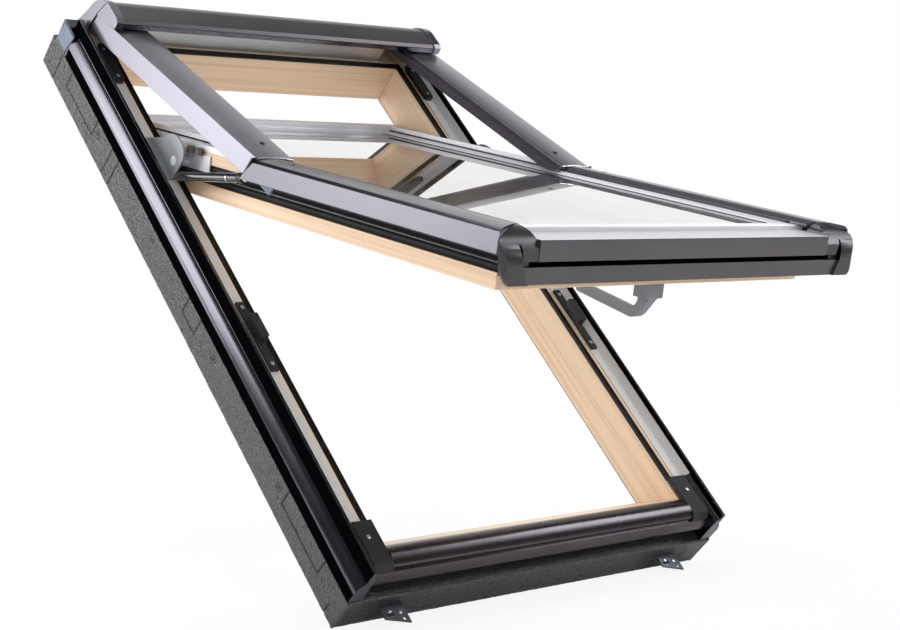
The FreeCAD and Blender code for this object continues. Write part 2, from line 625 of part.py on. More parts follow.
carve_pair(covers, "face",
           [(lobe_x - shell, ZERO), (lip + shell, ZERO), (lip + shell, v["cap_back"]),
            (lip, v["cap_back"]), (lobe_x, v["lobe_back"]), (lobe_x - shell, v["lobe_back"])],
           ZERO, cap_top)
nose = v["cap_nose_reach"]
carve_pair(caps, "across",
           [(cap_front, v["cap_nose"], -v["cap_nose_radius"]), (nose, cap_top), (nose, cap_top + shell),
            (cap_front - shell, cap_top + shell), (cap_front - shell, v["cap_nose"])], lobe_x, lip)
carve_pair(caps, "along",
           [(lip - v["cap_foot_round"], -shell), (lip + shell, -shell),
            (lip + shell, v["cap_side_level"]), (lip, v["cap_side_level"], -v["cap_side_radius"]),
            (lip - v["cap_foot_round"], ZERO)],
           cap_front, v["lobe_back"])
carve_pair(caps, "across",
           [(v["cap_heel"], -shell), (v["lobe_back"], -shell), (v["lobe_back"], v["side_lip_level"]),
            (v["cap_back"] - shell, v["side_lip_level"])], band_half, lip + shell)
carve_pair(caps, "along",
           [(lobe_x - shell, -shell), (band_half, -shell), (band_half, up_low), (lobe_x - shell, up_low)],
           cap_front, v["lobe_back"])
carve_pair(caps, "along",
           [(band_half - shell, -shell), (ridge_low, -shell), (ridge_low, ZERO),
            (ridge_mid, ridge_level), (ridge_high, cap_top),
            (ridge_high - v["ridge_groove"], cap_top), (bed_x, up_low), (band_half - shell, up_low)],
           cap_front, cap_front + v["ridge_depth"])
carve_pair(caps, "along",
           [(lobe_x, up_low), (bed_x, up_low), (ridge_high - v["ridge_groove"], cap_top),
            (lobe_x, cap_top)], cap_front, cap_front + v["lobe_step"])
carve_pair(caps, "along",
           [(lobe_x, cap_top - v["lobe_round"], -v["lobe_round"]), (lobe_x + v["lobe_round"], cap_top),
            (lobe_x, cap_top)], cap_front, v["lobe_back"])

# pivot hinges: a cast ear on the frame and a plate with a pin on the sash
ear_x, thick = strip_x + v["ear_inset"], v["hinge_skin"]
ear_low, ear_high = pivot - v["ear_fore"], pivot + v["ear_aft"]
frame_hinges = side_pair("frame_hinge",
                         [(ear_low, strip_top), (ear_high, strip_top), (ear_high, strip_top + thick),
                          (pivot + v["ear_heel"], level + v["ear_crown"], v["ear_back_radius"]),
                          (pivot + v["ear_crown"], level + v["ear_height"], v["ear_radius"]),
                          (ear_low, level + v["ear_nose"])], ear_x, ear_x + thick, FRAME)
extend_pair(frame_hinges, "along", box(strip_x, strip_top, bend_x - skin, strip_top + thick),
            ear_low, ear_high)
carve_pair(frame_hinges, "across", [("circle", pivot, level, v["pivot_radius"] + v["pivot_play"])],
           ear_x, ear_x + thick)
plate_low, plate_high = pivot_m - v["hinge_low"], pivot_m + v["hinge_high"]
plate_start = pivot_s - v["hinge_fore"]
plate_stop = plate_start + v["hinge_length"]
sash_hinges = side_pair("sash_hinge",
                        [(plate_start, plate_low), (plate_stop - v["hinge_slant"], plate_low),
                         (plate_stop, plate_high), (plate_start, plate_high)], edge, edge + thick, SASH)
extend_pair(sash_hinges, "across", [("circle", pivot_s, pivot_m, v["pivot_radius"])],
            edge + thick, ear_x + thick)

# catches and springs
catch_x = strip_x + v["catch_width"]
catch_top = strip_top + v["catch_height"]
catches = pair("catch", "along", box(strip_x, strip_top, catch_x, strip_top + v["latch_height"]),
               v["catch_pos"], v["catch_pos"] + v["catch_length"], FRAME)
catch_end, latch_top = v["catch_pos"] + v["catch_length"], strip_top + v["latch_height"]
carve_pair(catches, "across", box(v["catch_pos"], catch_top, v["latch_pos"], latch_top), ZERO, half)
carve_pair(catches, "across", box(v["latch_pos"] + v["latch_length"], catch_top, catch_end, latch_top),
           ZERO, half)
for side, centre in (("left", v["spring_inset"] - half), ("right", half - v["spring_inset"])):
    solid("spring_" + side, "along", [("circle", centre, ZERO, v["spring_radius"])],
          -spring_length, ZERO, SPRING)

# handle under the sash foot: a base and a lever bent at its elbow
near, bar = foot + v["handle_inset"], v["handle_bar"]
base = low - v["handle_base"]
elbow_low = low - v["handle_drop"]
elbow, tip = near + v["handle_elbow"], near + v["handle_reach"]
crook = near + v["handle_depth"]
handle = solid("handle", "across",
               [(near, base), (near + v["handle_lean"], low - v["handle_neck"], v["handle_round"]),
                (elbow, elbow_low), (tip, elbow_low + v["handle_rise"], v["handle_tip"]),
                (tip, elbow_low + v["handle_rise"] + bar), (elbow + v["handle_tip"], elbow_low + bar + 1,
                                                            -v["handle_crook"]),
                (crook, base)], -v["handle_width"] / 2, v["handle_width"] / 2, SASH)
base_half = v["handle_base_width"] / 2
extend(handle, "across", box(near, base, crook, low), -base_half, base_half)

# the solids are checked before anything is written
bodies = [item for item in doc.Objects if item.isDerivedFrom("PartDesign::Body")]
for item in doc.Objects:
    if "Invalid" in item.State or "Error" in item.State:
        raise ValueError(item.Label + " did not rebuild")
for body in bodies:
    if body.Shape.isNull() or not body.Shape.isValid() or len(body.Shape.Solids) != 1:
        raise ValueError(body.Label + " is not one sound solid")

os.makedirs("parts", exist_ok=True)
for body in bodies:
    body.Shape.exportStep("parts/" + body.Label + ".step")
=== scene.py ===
import math

import bmesh
import bpy
import numpy as np
from bpy.props import FloatProperty, FloatVectorProperty, PointerProperty
from mathutils import Matrix, Vector


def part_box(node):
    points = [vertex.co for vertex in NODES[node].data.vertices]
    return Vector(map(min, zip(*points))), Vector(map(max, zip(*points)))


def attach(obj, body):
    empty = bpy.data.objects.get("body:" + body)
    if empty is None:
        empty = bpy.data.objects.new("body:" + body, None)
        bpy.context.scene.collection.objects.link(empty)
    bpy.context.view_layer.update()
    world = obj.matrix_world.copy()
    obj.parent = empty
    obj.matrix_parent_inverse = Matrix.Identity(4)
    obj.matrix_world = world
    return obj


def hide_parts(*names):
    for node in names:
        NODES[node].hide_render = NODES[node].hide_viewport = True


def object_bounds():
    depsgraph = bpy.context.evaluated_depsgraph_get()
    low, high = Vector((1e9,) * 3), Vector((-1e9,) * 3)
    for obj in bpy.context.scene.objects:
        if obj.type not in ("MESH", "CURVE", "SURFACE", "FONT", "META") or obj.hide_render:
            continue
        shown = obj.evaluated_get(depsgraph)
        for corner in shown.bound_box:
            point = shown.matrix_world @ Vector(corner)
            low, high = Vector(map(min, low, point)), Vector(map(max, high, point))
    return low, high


bl_info = {
    "name": "Roof window dressing",
    "version": (1, 0, 0),
    "blender": (4, 5, 0),
    "location": "3D View > Sidebar > Roof window",
    "description": "Dresses the frame of an open roof window: finishes, seals, screws and small fittings",
    "category": "Object",
}

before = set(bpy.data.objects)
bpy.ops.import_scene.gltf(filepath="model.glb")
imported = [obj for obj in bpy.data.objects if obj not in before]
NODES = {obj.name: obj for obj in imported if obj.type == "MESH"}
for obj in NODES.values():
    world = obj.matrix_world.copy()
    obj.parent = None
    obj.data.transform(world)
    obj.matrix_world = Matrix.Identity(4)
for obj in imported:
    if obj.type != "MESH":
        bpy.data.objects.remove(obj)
CAD_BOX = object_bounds()
MM = 0.001

# where the window lies: its mid plane in metres, the roof's pitch, the bracket at the origin, the sash's turn
# about its pivot and an arm's turn about its foot; lengths are in mm where nothing else is said
MID_X = (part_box("sill_cover")[0].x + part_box("sill_cover")[1].x) / 2
PITCH = math.radians(45)
TURN = math.radians(35.1)
BRACKET_MID = 15.5
BRACKET_UNDER = 31.5
PIVOT_ALONG, PIVOT_LEVEL = 800, 128
PIVOT_S, PIVOT_M = 816.8, 30.8
ARM_TURN = math.radians(17.1)
ARM_ALONG, ARM_LEVEL = 625.1, 267.0
SIDES = {"left": -1, "right": 1}

# the insulating block and the marks on its moulded skin
HALF = 370
BLOCK_LENGTH = 1180
BLOCK_DEPTH = 58
FACE_ROOM = 3.0
EDGE_ROUND = 2.4
GRAIN_SIZES = (2.0, 9.0)
PITS_PER_METRE = 150
PIT_SIZES = (0.8, 1.9)
PIT_MARGINS = (6, 4)
PIT_REACH = 8
PIT_SHARE = 0.8
PIT_DEPTH = 1.5
SEAM_REACH = 2.1
RING_RADIUS, RING_WIDTH = 6.6, 0.9
EJECTOR_SHARE, EJECTOR_FALL = 1.6, 2.6
RIM_SINK = 0.5
FOAM_CREASE = 80.0
NEAR_STEP, FAR_STEP = 1.0, 2.0
SIDE_SEED, FOOT_SEED = 11, 31
SIDE_SEAMS = (
    ((1131, 54), (1132, 0)),
    ((1085, 58), (1085, 26), (966, 26), (966, 58)),
    ((899, 58), (901, 0)),
    ((871, 58), (873, 0)),
    ((571, 58), (571, 26), (524, 26), (524, 58)),
    ((197, 58), (197, 29), (74, 29), (74, 58)),
    ((27, 22), (28, 0)),
)
SIDE_RINGS = ((951, 40), (709, 41), (461, 40), (217, 41))

# outlines of long pieces, as pairs of half width and level; the other side has them mirrored
SASH_SEAL = ((289.2, 4.2), (300.2, 4.6), (297.2, 8.0), (300.6, 12.2), (297.6, 15.6), (300.8, 19.8),
             (297.8, 23.4), (300.6, 27.6), (298.4, 31.0), (300.2, 33.6), (289.2, 33.8))
# SEAL_LIP_HIGHLIGHT is a pale bar on one lip of the sash seal: a painted highlight where the lip's edge
# catches the light
SEAL_LIP_HIGHLIGHT = ((298.2, 16.3), (300.9, 16.6), (300.9, 17.8), (298.2, 18.3))
SIDE_STRIP = ((284.0, 62.9), (286.9, 62.9), (286.9, 74.0), (284.8, 74.0), (284.2, 67.5), (283.6, 67.0))
PANE_GASKET = ((270.8, 58.1), (272.6, 58.1), (272.6, 58.9))
BEAD_SLOPE = ((272.2, 58.1), (283.5, 58.1), (283.5, 63.9), (282.6, 63.9))
PANE_LINE = ((282.8, 63.9), (286.9, 63.9), (286.9, 66.6), (283.0, 66.4))
SEAL_ENDS = (62, 1064)
SEAL_CREASE = 60.0
PANE_ENDS = (78, 1048)
STRIP_ENDS = (572, 1050)
SEAL_RIBS = (307.5, 310.2, 312.9, 315.6)
RIB_FOOT, RIB_TOP = (0.7, 101.9), (0.3, 103.4)
RIB_ENDS = (100, 1100)

# outlines of pieces that lie across the window, as pairs of length and level, each with its two ends
HEAD_STRIP = ((1048.5, 62.9), (1050, 63.2), (1050.6, 67), (1049.2, 67.6), (1049.2, 73.2), (1052, 75),
              (1065, 75), (1065, 63.6), (1056, 63.4))
HEAD_STRIP_ENDS = (-300, 300)
HOOD_STRIP = ((1063.0, 174.2), (1063.9, 174.2), (1063.9, 183.2), (1063.2, 183.2))
HOOD_STRIP_ENDS = (-329, 329)
END_SHEET = ((1130, 64.5), (1166, 64.5), (1160.5, 101), (1121, 101))
END_EDGE = ((1129, 58.5), (1168, 58.5), (1168, 64), (1129, 64))
END_SIDES = (369.1, 369.9)
JOINT_EDGE = ((587.6, 41), (591.1, 41), (567.0, 73.5), (563.5, 73.5))
JOINT_SIDES = (339, 349.5)
LIP_CLIP = ((503, 38.6), (539, 38.6), (513, 26.5))
CLIP_SIDES = (347.5, 351)

# outline of the stay plates, as pairs of half width and length, with their lower and upper level
STAY_PLATE = ((321, 1012), (326, 1006), (335, 1006), (340, 1012), (342, 1090), (336, 1100), (324, 1100),
              (319, 1085))
STAY_LEVELS = (104.6, 111)

# the springs' ends as pairs of length and level, the low one on the sash; turned pieces as radius and height
SPRING_SIDE = 325
SPRING_LOW, SPRING_HIGH = (618, 35), (775, 118)
COLLAR = ((0, 38), (8.3, 38), (8.3, 41), (0, 41))
SOCKET = ((0, 0), (8.3, 0), (8.3, 12), (0, 12))
BALL = ((0, -9), (4, -8), (5.5, -4), (4, 0), (0, 0))
HINGE_BLOCK = ((0, -4), (6, -4), (6, 7), (4.6, 8), (0, 8))
HINGE_BLOCKS = (775, 800)
HINGE_BLOCK_SIDE = 308
HINGE_BLOCK_LEVELS = (50, 60)
BRACKETS = (-282, 282)
BRACKET_SCREWS = ((-8, -8), (9, -12))
BRACKET_SCREW_RADIUS = 3.4
BRACKET_TOP = 34

# how much paler the arms are than the side covers, which faces of the covers have their own finish, and
# which are painted dull black as painted shade: UPRIGHT and LEANING are least sideways parts of a normal
ARM_GAIN = 2.3
UPRIGHT = 0.9
LEANING = 0.6
BAND_LEVELS = (77, 99)
INNER_SLOPE = 300
ARM_INSIDE = 277.6
CAP_GROOVE_SIDE = 345
CAP_GROOVE_LEVEL = 20
CAP_GROOVE = (-4, 6)
FOOT_GROOVE = (0.5, 5.5)
FOOT_GROOVE_LEVELS = (22.6, 29.6)
FOOT_TOP = (3, 57)

# the rounded band of a frame cover: centre, radius, first and last angle in degrees, and its two ends
BAND_CENTRE = (340.03, 76.74)
BAND_RADIUS = 30
BAND_ANGLES = (3.0, 50.8)
BAND_STEPS = 33
BAND_ENDS = (3.0, 1122.0)

# the bright edge at an arm's foot: the crown that it follows, and the half sizes of its section
CROWN_SIDES = (277.5, 341.5)
CROWN_STEPS = 24
CROWN_MID, CROWN_HALF = 309.5, 32.5
CROWN_RADIUS = 260
CROWN_LEVEL = 36
EDGE_ALONG, EDGE_SINK = -19.5, 0.2
EDGE_SECTION = (1.6, 1.2)
EDGE_STEPS = 12

# the studio in metres: the floor, and each lamp's place, width, height, brightness and roll in degrees
FLOOR_RADIUS = 9.0
FLOOR_CORNERS = 96
FLOOR_DROP = 0.0005
FADE_REACH = (0.6, 2.2)
FADE_SHARE = (0.88, 1.0)
WALL_EDGE = (0.70, 0.93)
LAMP_AIM = (0.28, 0.3, 0.5)
LAMPS = (
    ("side_softbox", (-1.35, 2.15, 0.85), 0.85, 0.85, 4.2, 0),
    ("band_softbox", (-1.68, 1.33, 1.53), 0.9, 1.5, 6.5, -44),
    ("top_softbox", (0.1, 0.9, 3.0), 1.6, 1.0, 4.0, 0),
    ("sill_softbox", (2.45, -1.40, 1.90), 0.7, 1.6, 9.0, 0),
    ("front_softbox", (-0.9, -3.0, 1.9), 1.2, 1.2, 2.0, 0),
)


def on_window(x, along, level):
    """Points in the frame's own sizes, in mm: across, up the slope from the foot, and out of the roof."""
    x, along, level = np.broadcast_arrays(x, along, level)
    run = along + BRACKET_MID
    rise = level - BRACKET_UNDER
    y = run * math.cos(PITCH) - rise * math.sin(PITCH)
    z = run * math.sin(PITCH) + rise * math.cos(PITCH)
    return np.stack((x * MM + MID_X, y * MM, z * MM), -1)


def on_sash(x, along, level):
    """Points in the sash's own sizes: turned about the pivot by the angle at which it stands open."""
    run = np.asarray(along) - PIVOT_S
    rise = np.asarray(level) - PIVOT_M
    return on_window(x, PIVOT_ALONG + run * math.cos(TURN) + rise * math.sin(TURN),
                     PIVOT_LEVEL - run * math.sin(TURN) + rise * math.cos(TURN))


def on_arm(x, along, level):
    """Points in an arm's own sizes: along it from its joint with the sash, and out of its top."""
    along, level = np.asarray(along), np.asarray(level)
    return on_window(x, ARM_ALONG + along * math.cos(ARM_TURN) + level * math.sin(ARM_TURN),
                     ARM_LEVEL - along * math.sin(ARM_TURN) + level * math.cos(ARM_TURN))


def in_window(points):
    """The frame's own sizes of points of the scene: the way back from on_window."""
    x, y, z = points.T / MM
    along = y * math.cos(PITCH) + z * math.sin(PITCH) - BRACKET_MID
    level = z * math.cos(PITCH) - y * math.sin(PITCH) + BRACKET_UNDER
    return np.stack((x - MID_X / MM, along, level), -1)


def in_sash(points):
    """The sash's own sizes of points of the scene: the way back from on_sash."""
    x, along, level = in_window(points).T
    along, level = along - PIVOT_ALONG, level - PIVOT_LEVEL
    return np.stack((x, PIVOT_S + along * math.cos(TURN) - level * math.sin(TURN),
                     PIVOT_M + along * math.sin(TURN) + level * math.cos(TURN)), -1)


# the screws: name, the way it is placed, (half width, length, level), radius of the head
DARK_SCREWS = (
    ("arm_screw_%s", on_arm, (303, 30, 37.9), 4.2),
    ("cover_screw_%s", on_sash, (319, 503, 72.4), 3.2),
)
STEEL_SCREWS = (
    ("catch_screw_low_%s", on_window, (330, 390, 109.9), 3.6),
    ("catch_screw_high_%s", on_window, (330, 502, 109.9), 3.6),
    ("stay_screw_%s_0", on_window, (331, 1020, 111), 3.2),
    ("stay_screw_%s_1", on_window, (331, 1086, 111), 3.2),
    ("plate_screw_%s", on_window, (326, 70, 111), 3.6),
)


class Socket:
    """A shader value that can stand in an expression: each operator adds its Math node."""

    def __init__(self, wires, link):
        self.wires = wires
        self.link = link

    def maths(self, operation, first, second):
        """The Math node of one operation, as a value."""
        return self.wires.node("Math", {"operation": operation}, {0: first, 1: second})

    def __add__(self, other):
        return self.maths("ADD", self, other)

    def __radd__(self, other):
        return self.maths("ADD", other, self)

    def __sub__(self, other):
        return self.maths("SUBTRACT", self, other)

    def __rsub__(self, other):
        return self.maths("SUBTRACT", other, self)

    def __mul__(self, other):
        return self.maths("MULTIPLY", self, other)

    def __rmul__(self, other):
        return self.maths("MULTIPLY", other, self)

    def larger(self, other):
        """The larger of two values."""
        return self.maths("MAXIMUM", self, other)


class Wires:
    """A node tree under way and the ways to add to it."""

    def __init__(self, tree):
        self.tree = tree

    def feed(self, socket, value):
        """Links a socket to a shader value, or sets it; a colour of three parts gets its fourth."""
        if isinstance(value, Socket):
            self.tree.links.new(value.link, socket)
        elif isinstance(value, tuple) and len(value) == 3 and socket.type == "RGBA":
            socket.default_value = value + (1.0,)
        else:
            socket.default_value = value

    def node(self, kind, settings=None, inputs=None, output=0):
        """Adds a node: its settings first, then the values or links of its sockets."""
        made = self.tree.nodes.new("ShaderNode" + kind)
        for name, value in (settings or {}).items():
            if name == "stops":
                ramp = made.color_ramp.elements
                while len(ramp) < len(value):
                    ramp.new(0.5)
                for element, (place, colour) in zip(ramp, value):
                    element.position = place
                    element.color = tuple(colour) + (1.0,)
            else:
                setattr(made, name, value)
        for name, value in (inputs or {}).items():
            self.feed(made.inputs[name], value)
        return Socket(self, made.outputs[output])

    def ray(self, kind):
        """One where the light path is of a kind, such as Camera or Glossy, and nought elsewhere."""
        return self.node("LightPath", output="Is %s Ray" % kind)

    def mix(self, factor, first, second, output):
        """Mixes two shaders and links the result to the tree's output."""
        mixed = self.node("MixShader", None, {0: factor, 1: first, 2: second})
        self.feed(self.tree.nodes[output].inputs["Surface"], mixed)


class Paint(Wires):
    """A material under way: its main shader and the patterns that feed it."""

    def __init__(self, name, **sockets):
        self.material = bpy.data.materials.new(name)
        self.material.use_nodes = True
        super().__init__(self.material.node_tree)
        self.shader = self.tree.nodes["Principled BSDF"]
        self.set(**sockets)

    def set(self, **sockets):
        """Sets or links sockets of the main shader, named with underlines for spaces."""
        for name, value in sockets.items():
            self.feed(self.shader.inputs[name.replace("_", " ")], value)
        return self

    def place(self, turn=0.0, size=(1.0, 1.0, 1.0)):
        """Object coordinates in metres, turned back about X, then divided by the pattern's size."""
        where = self.node("TexCoord", output="Object")
        return self.node("Mapping", {"vector_type": "TEXTURE"},
                         {"Vector": where, "Rotation": (turn, 0.0, 0.0), "Scale": size})

    def noise(self, where, scale=1.0, detail=3.0, roughness=0.5, distortion=0.0):
        """Cloudy values about one half."""
        return self.node("TexNoise", None, {"Vector": where, "Scale": scale, "Detail": detail,
                                            "Roughness": roughness, "Distortion": distortion})

    def ramp(self, value, *stops):
        """Colour at a value, between stops of place and colour."""
        return self.node("ValToRGB", {"stops": stops}, {"Fac": value})

    def between(self, value, low, high, to_low=0.0, to_high=1.0):
        """The value's way from low to high, as a way between two other values."""
        return self.node("MapRange", {"clamp": True}, {"Value": value, "From Min": low, "From Max": high,
                                                       "To Min": to_low, "To Max": to_high})

    def blend(self, factor, first, second):
        """Colour between two colours."""
        return self.node("Mix", {"data_type": "RGBA"}, {0: factor, 6: first, 7: second}, output=2)

    def bump(self, height, distance, strength):
        """Normal of a fine relief, its full height in metres."""
        return self.node("Bump", None, {"Height": height, "Distance": distance, "Strength": strength})


def pine(name, turn, across, look):
    """Lacquered pine: long streaks of early and late wood along the rail, with fine fibres in them."""
    paint = Paint(name, Coat_Weight=look.lacquer, Coat_Roughness=0.25, Specular_IOR_Level=0.4)
    long, wide = 0.9, 0.011
    size = (long, wide, wide) if across else (wide, long, wide)
    where = paint.place(turn, size)
    wave = paint.noise(where, 1.6, 2.0, 0.45, 0.3)
    fibre_size = (0.06, 0.0012, 0.0012) if across else (0.0012, 0.06, 0.0012)
    fibre = paint.noise(paint.place(turn, fibre_size), 1.0, 2.0, 0.6)
    streak = paint.between(wave, 0.34, 0.66)
    tone = paint.ramp(streak * 0.82 + fibre * 0.18, (0.15, tuple(look.late_wood)), (0.5, tuple(look.wood)),
                      (0.85, tuple(look.early_wood)))
    paint.set(Base_Color=tone, Roughness=paint.between(fibre, 0.2, 0.8, 0.38, 0.52))
    return paint.set(Normal=paint.bump(fibre, 0.00012, 0.35)).material


def foam(look):
    """Moulded bead foam: a sparkling grainy skin, dull and painted dark as shade where the relief's attribute
    marks a pit and where the grain's relief is low.
    """
    paint = Paint("bead_foam", Specular_IOR_Level=1.0)
    where = paint.place()
    grain = paint.noise(where, 1 / look.grain, 2.0, 0.7)
    patch = paint.noise(where, 9.0, 2.0, 0.5)
    pit = paint.node("Attribute", {"attribute_name": "pit"}, output="Fac")
    # painted shade: the grain's low spots lean to the shade colour, and pits, seams and rings take it fully
    tone = paint.blend(paint.between(grain, 0.45, 0.60), tuple(look.shade), tuple(look.light))
    paint.set(Base_Color=paint.blend(pit, tone, tuple(look.shade)))
    paint.set(Roughness=paint.between(patch, 0.3, 0.7, 0.28, 0.36) + pit * 0.5)
    return paint.set(Normal=paint.bump(grain, 0.0022, 1.0)).material


def lacquer(name, colour, metal, rough, coat=0.0, shine=0.5):
    """Coil-coated sheet: an even colour with a very slight cloudiness in its sheen."""
    paint = Paint(name, Metallic=metal, Coat_Weight=coat, Coat_Roughness=0.06, Specular_IOR_Level=shine)
    cloud = paint.noise(paint.place(), 9.0, 2.0, 0.5)
    deep = tuple(part * 0.92 for part in colour)
    paint.set(Base_Color=paint.blend(paint.between(cloud, 0.35, 0.65), deep, tuple(colour)))
    return paint.set(Roughness=paint.between(cloud, 0.3, 0.7, rough - 0.02, rough + 0.02)).material


def painted_shade_black():
    """Painted shade: black that mirrors nothing, put on grooves and on faces where deep shade falls."""
    paint = Paint("painted_shade_black", Base_Color=(0.0015, 0.0015, 0.002), Specular_IOR_Level=0.0)
    return paint.set(Roughness=paint.between(paint.noise(paint.place(), 30.0), 0.3, 0.7, 0.6, 0.8)).material


def moulded(name, colour, rough=0.45, grain_size=0.0009, depth=0.00006):
    """Moulded plastic or rubber: a fine even grain from the mould and slightly dusty patches."""
    paint = Paint(name)
    where = paint.place()
    grain = paint.noise(where, 1 / grain_size, 2.0, 0.5)
    dust = paint.noise(where, 24.0, 3.0, 0.6)
    pale = tuple(min(1.0, part * 1.25 + 0.004) for part in colour)
    paint.set(Base_Color=paint.blend(paint.between(dust, 0.45, 0.75), tuple(colour), pale))
    paint.set(Roughness=paint.between(dust, 0.3, 0.7, rough - 0.05, rough + 0.07))
    return paint.set(Normal=paint.bump(grain, depth, 0.5)).material


def bare_metal(name, colour, rough, turn=0.0, spangle=0.0, metal=0.9):
    """Drawn or zinc-plated metal: fine lines along the strip, faint crystals where it is plated."""
    paint = Paint(name, Metallic=metal)
    line = paint.noise(paint.place(turn, (0.0006, 0.2, 0.0006)), 1.0, 2.0, 0.5)
    flake = paint.node("TexVoronoi", {"feature": "F1"}, {"Vector": paint.place(), "Scale": 160.0}, "Color")
    cell = paint.node("SeparateColor", None, {"Color": flake})
    tone = paint.between(line * (1 - spangle) + cell * spangle, 0.1, 0.9)
    dull = tuple(part * 0.82 for part in colour)
    paint.set(Base_Color=paint.blend(tone, dull, tuple(colour)))
    paint.set(Roughness=paint.between(line, 0.2, 0.8, rough - 0.06, rough + 0.06))
    return paint.set(Normal=paint.bump(line, 0.00003, 0.3)).material


def pane(tint):
    """Clear glass: it mirrors at its upper face, strongly at a flat view, and lets the other light by."""
    paint = Paint("pane_glass", Base_Color=tint, Roughness=0.0, Transmission_Weight=1.0, IOR=1.5)
    clear = paint.node("BsdfTransparent", None, {"Color": tint})
    gloss = paint.node("BsdfGlossy", None, {"Roughness": 0.0})
    smear = paint.noise(paint.place(), 6.0, 2.0, 0.5)
    upper = 1 - paint.node("NewGeometry", output="Backfacing")
    edge = paint.node("Fresnel", None, {"IOR": 1.5}) * upper
    paint.mix(edge * paint.between(smear, 0.3, 0.7, 1.5, 1.6), clear, gloss, "Material Output")
    return paint.material


def dress(piece, material):
    """Gives a piece its finish and sets it on the window."""
    piece.data.materials.clear()
    piece.data.materials.append(material)
    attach(piece, "root")
    return piece


def link_piece(name, mesh, crease=35.0):
    """A new piece of one mesh, smooth but for edges sharper than the crease, in degrees."""
    piece = bpy.data.objects.new(name, mesh)
    bpy.context.scene.collection.objects.link(piece)
    mesh.shade_smooth()
    mesh.set_sharp_from_angle(angle=math.radians(crease))
    return piece


def shift_face(mesh, axis, place, shift):
    """Moves the points of a mesh that lie on a plane of the frame's own sizes."""
    spots = np.empty(len(mesh.vertices) * 3)
    mesh.vertices.foreach_get("co", spots)
    sizes = in_window(spots.reshape(-1, 3))
    sizes[np.abs(sizes[:, axis] - place) < 0.5, axis] += shift
    mesh.vertices.foreach_set("co", on_window(*sizes.T).ravel())


def refine(node, material, bevel=0.8, crease=32.0, moves=(), segments=2):
    """A copy of a node, triangles merged and edges broken, which then stands for the node."""
    mesh = NODES[node].data.copy()
    for axis, place, shift in moves:
        shift_face(mesh, axis, place, shift)
    work = bmesh.new()
    work.from_mesh(mesh)
    bmesh.ops.remove_doubles(work, verts=work.verts, dist=0.01 * MM)
    bmesh.ops.dissolve_limit(work, angle_limit=math.radians(0.5), verts=work.verts, edges=work.edges)
    work.to_mesh(mesh)
    work.free()
    piece = link_piece(node + "_skin", mesh, crease)
    if bevel:
        rounding = piece.modifiers.new("broken_edges", "BEVEL")
        rounding.width = bevel * MM
        rounding.segments = segments
        rounding.limit_method = "ANGLE"
        rounding.angle_limit = math.radians(crease)
        rounding.harden_normals = True
    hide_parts(node)
    return dress(piece, material)


def faces_of(piece, sizes):
    """Each face's distance from the mid plane, length, level, and the sideways part of its normal."""
    faces = piece.data.polygons
    centre, normal = np.empty(len(faces) * 3), np.empty(len(faces) * 3)
    faces.foreach_get("center", centre)
    faces.foreach_get("normal", normal)
    x, along, level = sizes(centre.reshape(-1, 3)).T
    return np.abs(x), along, level, np.abs(normal[::3])


def within(values, ends):
    """Which values lie between two ends."""
    return (values > ends[0]) & (values < ends[1])


def paint_over(piece, material, chosen):
    """A further finish for the chosen faces of a piece."""
    index = np.empty(len(piece.data.polygons), np.int32)
    piece.data.polygons.foreach_get("material_index", index)
    index[chosen] = len(piece.data.materials)
    piece.data.materials.append(material)
    piece.data.polygons.foreach_set("material_index", index)


def keep(node, material):
    """A node that stays as it is, with its finish."""
    NODES[node].data.materials.clear()
    NODES[node].data.materials.append(material)


def surface(name, points, closed=False):
    """Mesh of a grid of points; closed joins the last column to the first."""
    rows, columns = points.shape[:2]
    index = np.arange(rows * columns).reshape(rows, columns)
    if closed:
        index = np.hstack((index, index[:, :1]))
    faces = np.stack((index[:-1, :-1], index[:-1, 1:], index[1:, 1:], index[1:, :-1]), -1).reshape(-1, 4)
    mesh = bpy.data.meshes.new(name)
    mesh.from_pydata(points.reshape(-1, 3).tolist(), [], faces.tolist())
    return mesh


def solid_bar(name, outline, ends, place):
    """Bar of one outline: its points (a, b) are carried from end to end, and flat faces close it."""
    a, b = np.array(outline, float).T
    count = len(a)
    rings = np.concatenate([place(a, b, np.full(count, end)) for end in ends])
    ring = np.arange(count)
    after = np.roll(ring, -1)
    sides = np.stack((ring, after, after + count, ring + count), -1)
    mesh = bpy.data.meshes.new(name)
    mesh.from_pydata(rings.tolist(), [], sides.tolist() + [ring[::-1].tolist(), (ring + count).tolist()])
    mesh.validate()
    return outward(mesh)


def outward(mesh):
    """The same mesh with its doubled points merged and its faces turned outward."""
    work = bmesh.new()
    work.from_mesh(mesh)
    bmesh.ops.remove_doubles(work, verts=work.verts, dist=0.001 * MM)
    bmesh.ops.recalc_face_normals(work, faces=work.faces)
    work.to_mesh(mesh)
    work.free()
    return mesh


def bar(name, outline, ends, place, material, crease=35.0):
    """A bar of one outline as a finished piece, between its two ends."""
    return dress(link_piece(name, solid_bar(name, outline, ends, place), crease), material)


# ways to carry an outline: along a part of the window or across it, in the frame's or the sash's own sizes
def along_window(x, level, along):
    return on_window(x, along, level)


def along_sash(x, level, along):
    return on_sash(x, along, level)


def across_window(along, level, x):
    return on_window(x, along, level)


def across_sash(along, level, x):
    return on_sash(x, along, level)


def flip(outline, side):
    """An outline of half widths on one side of the window."""
    return [(side * x, level) for x, level in outline]


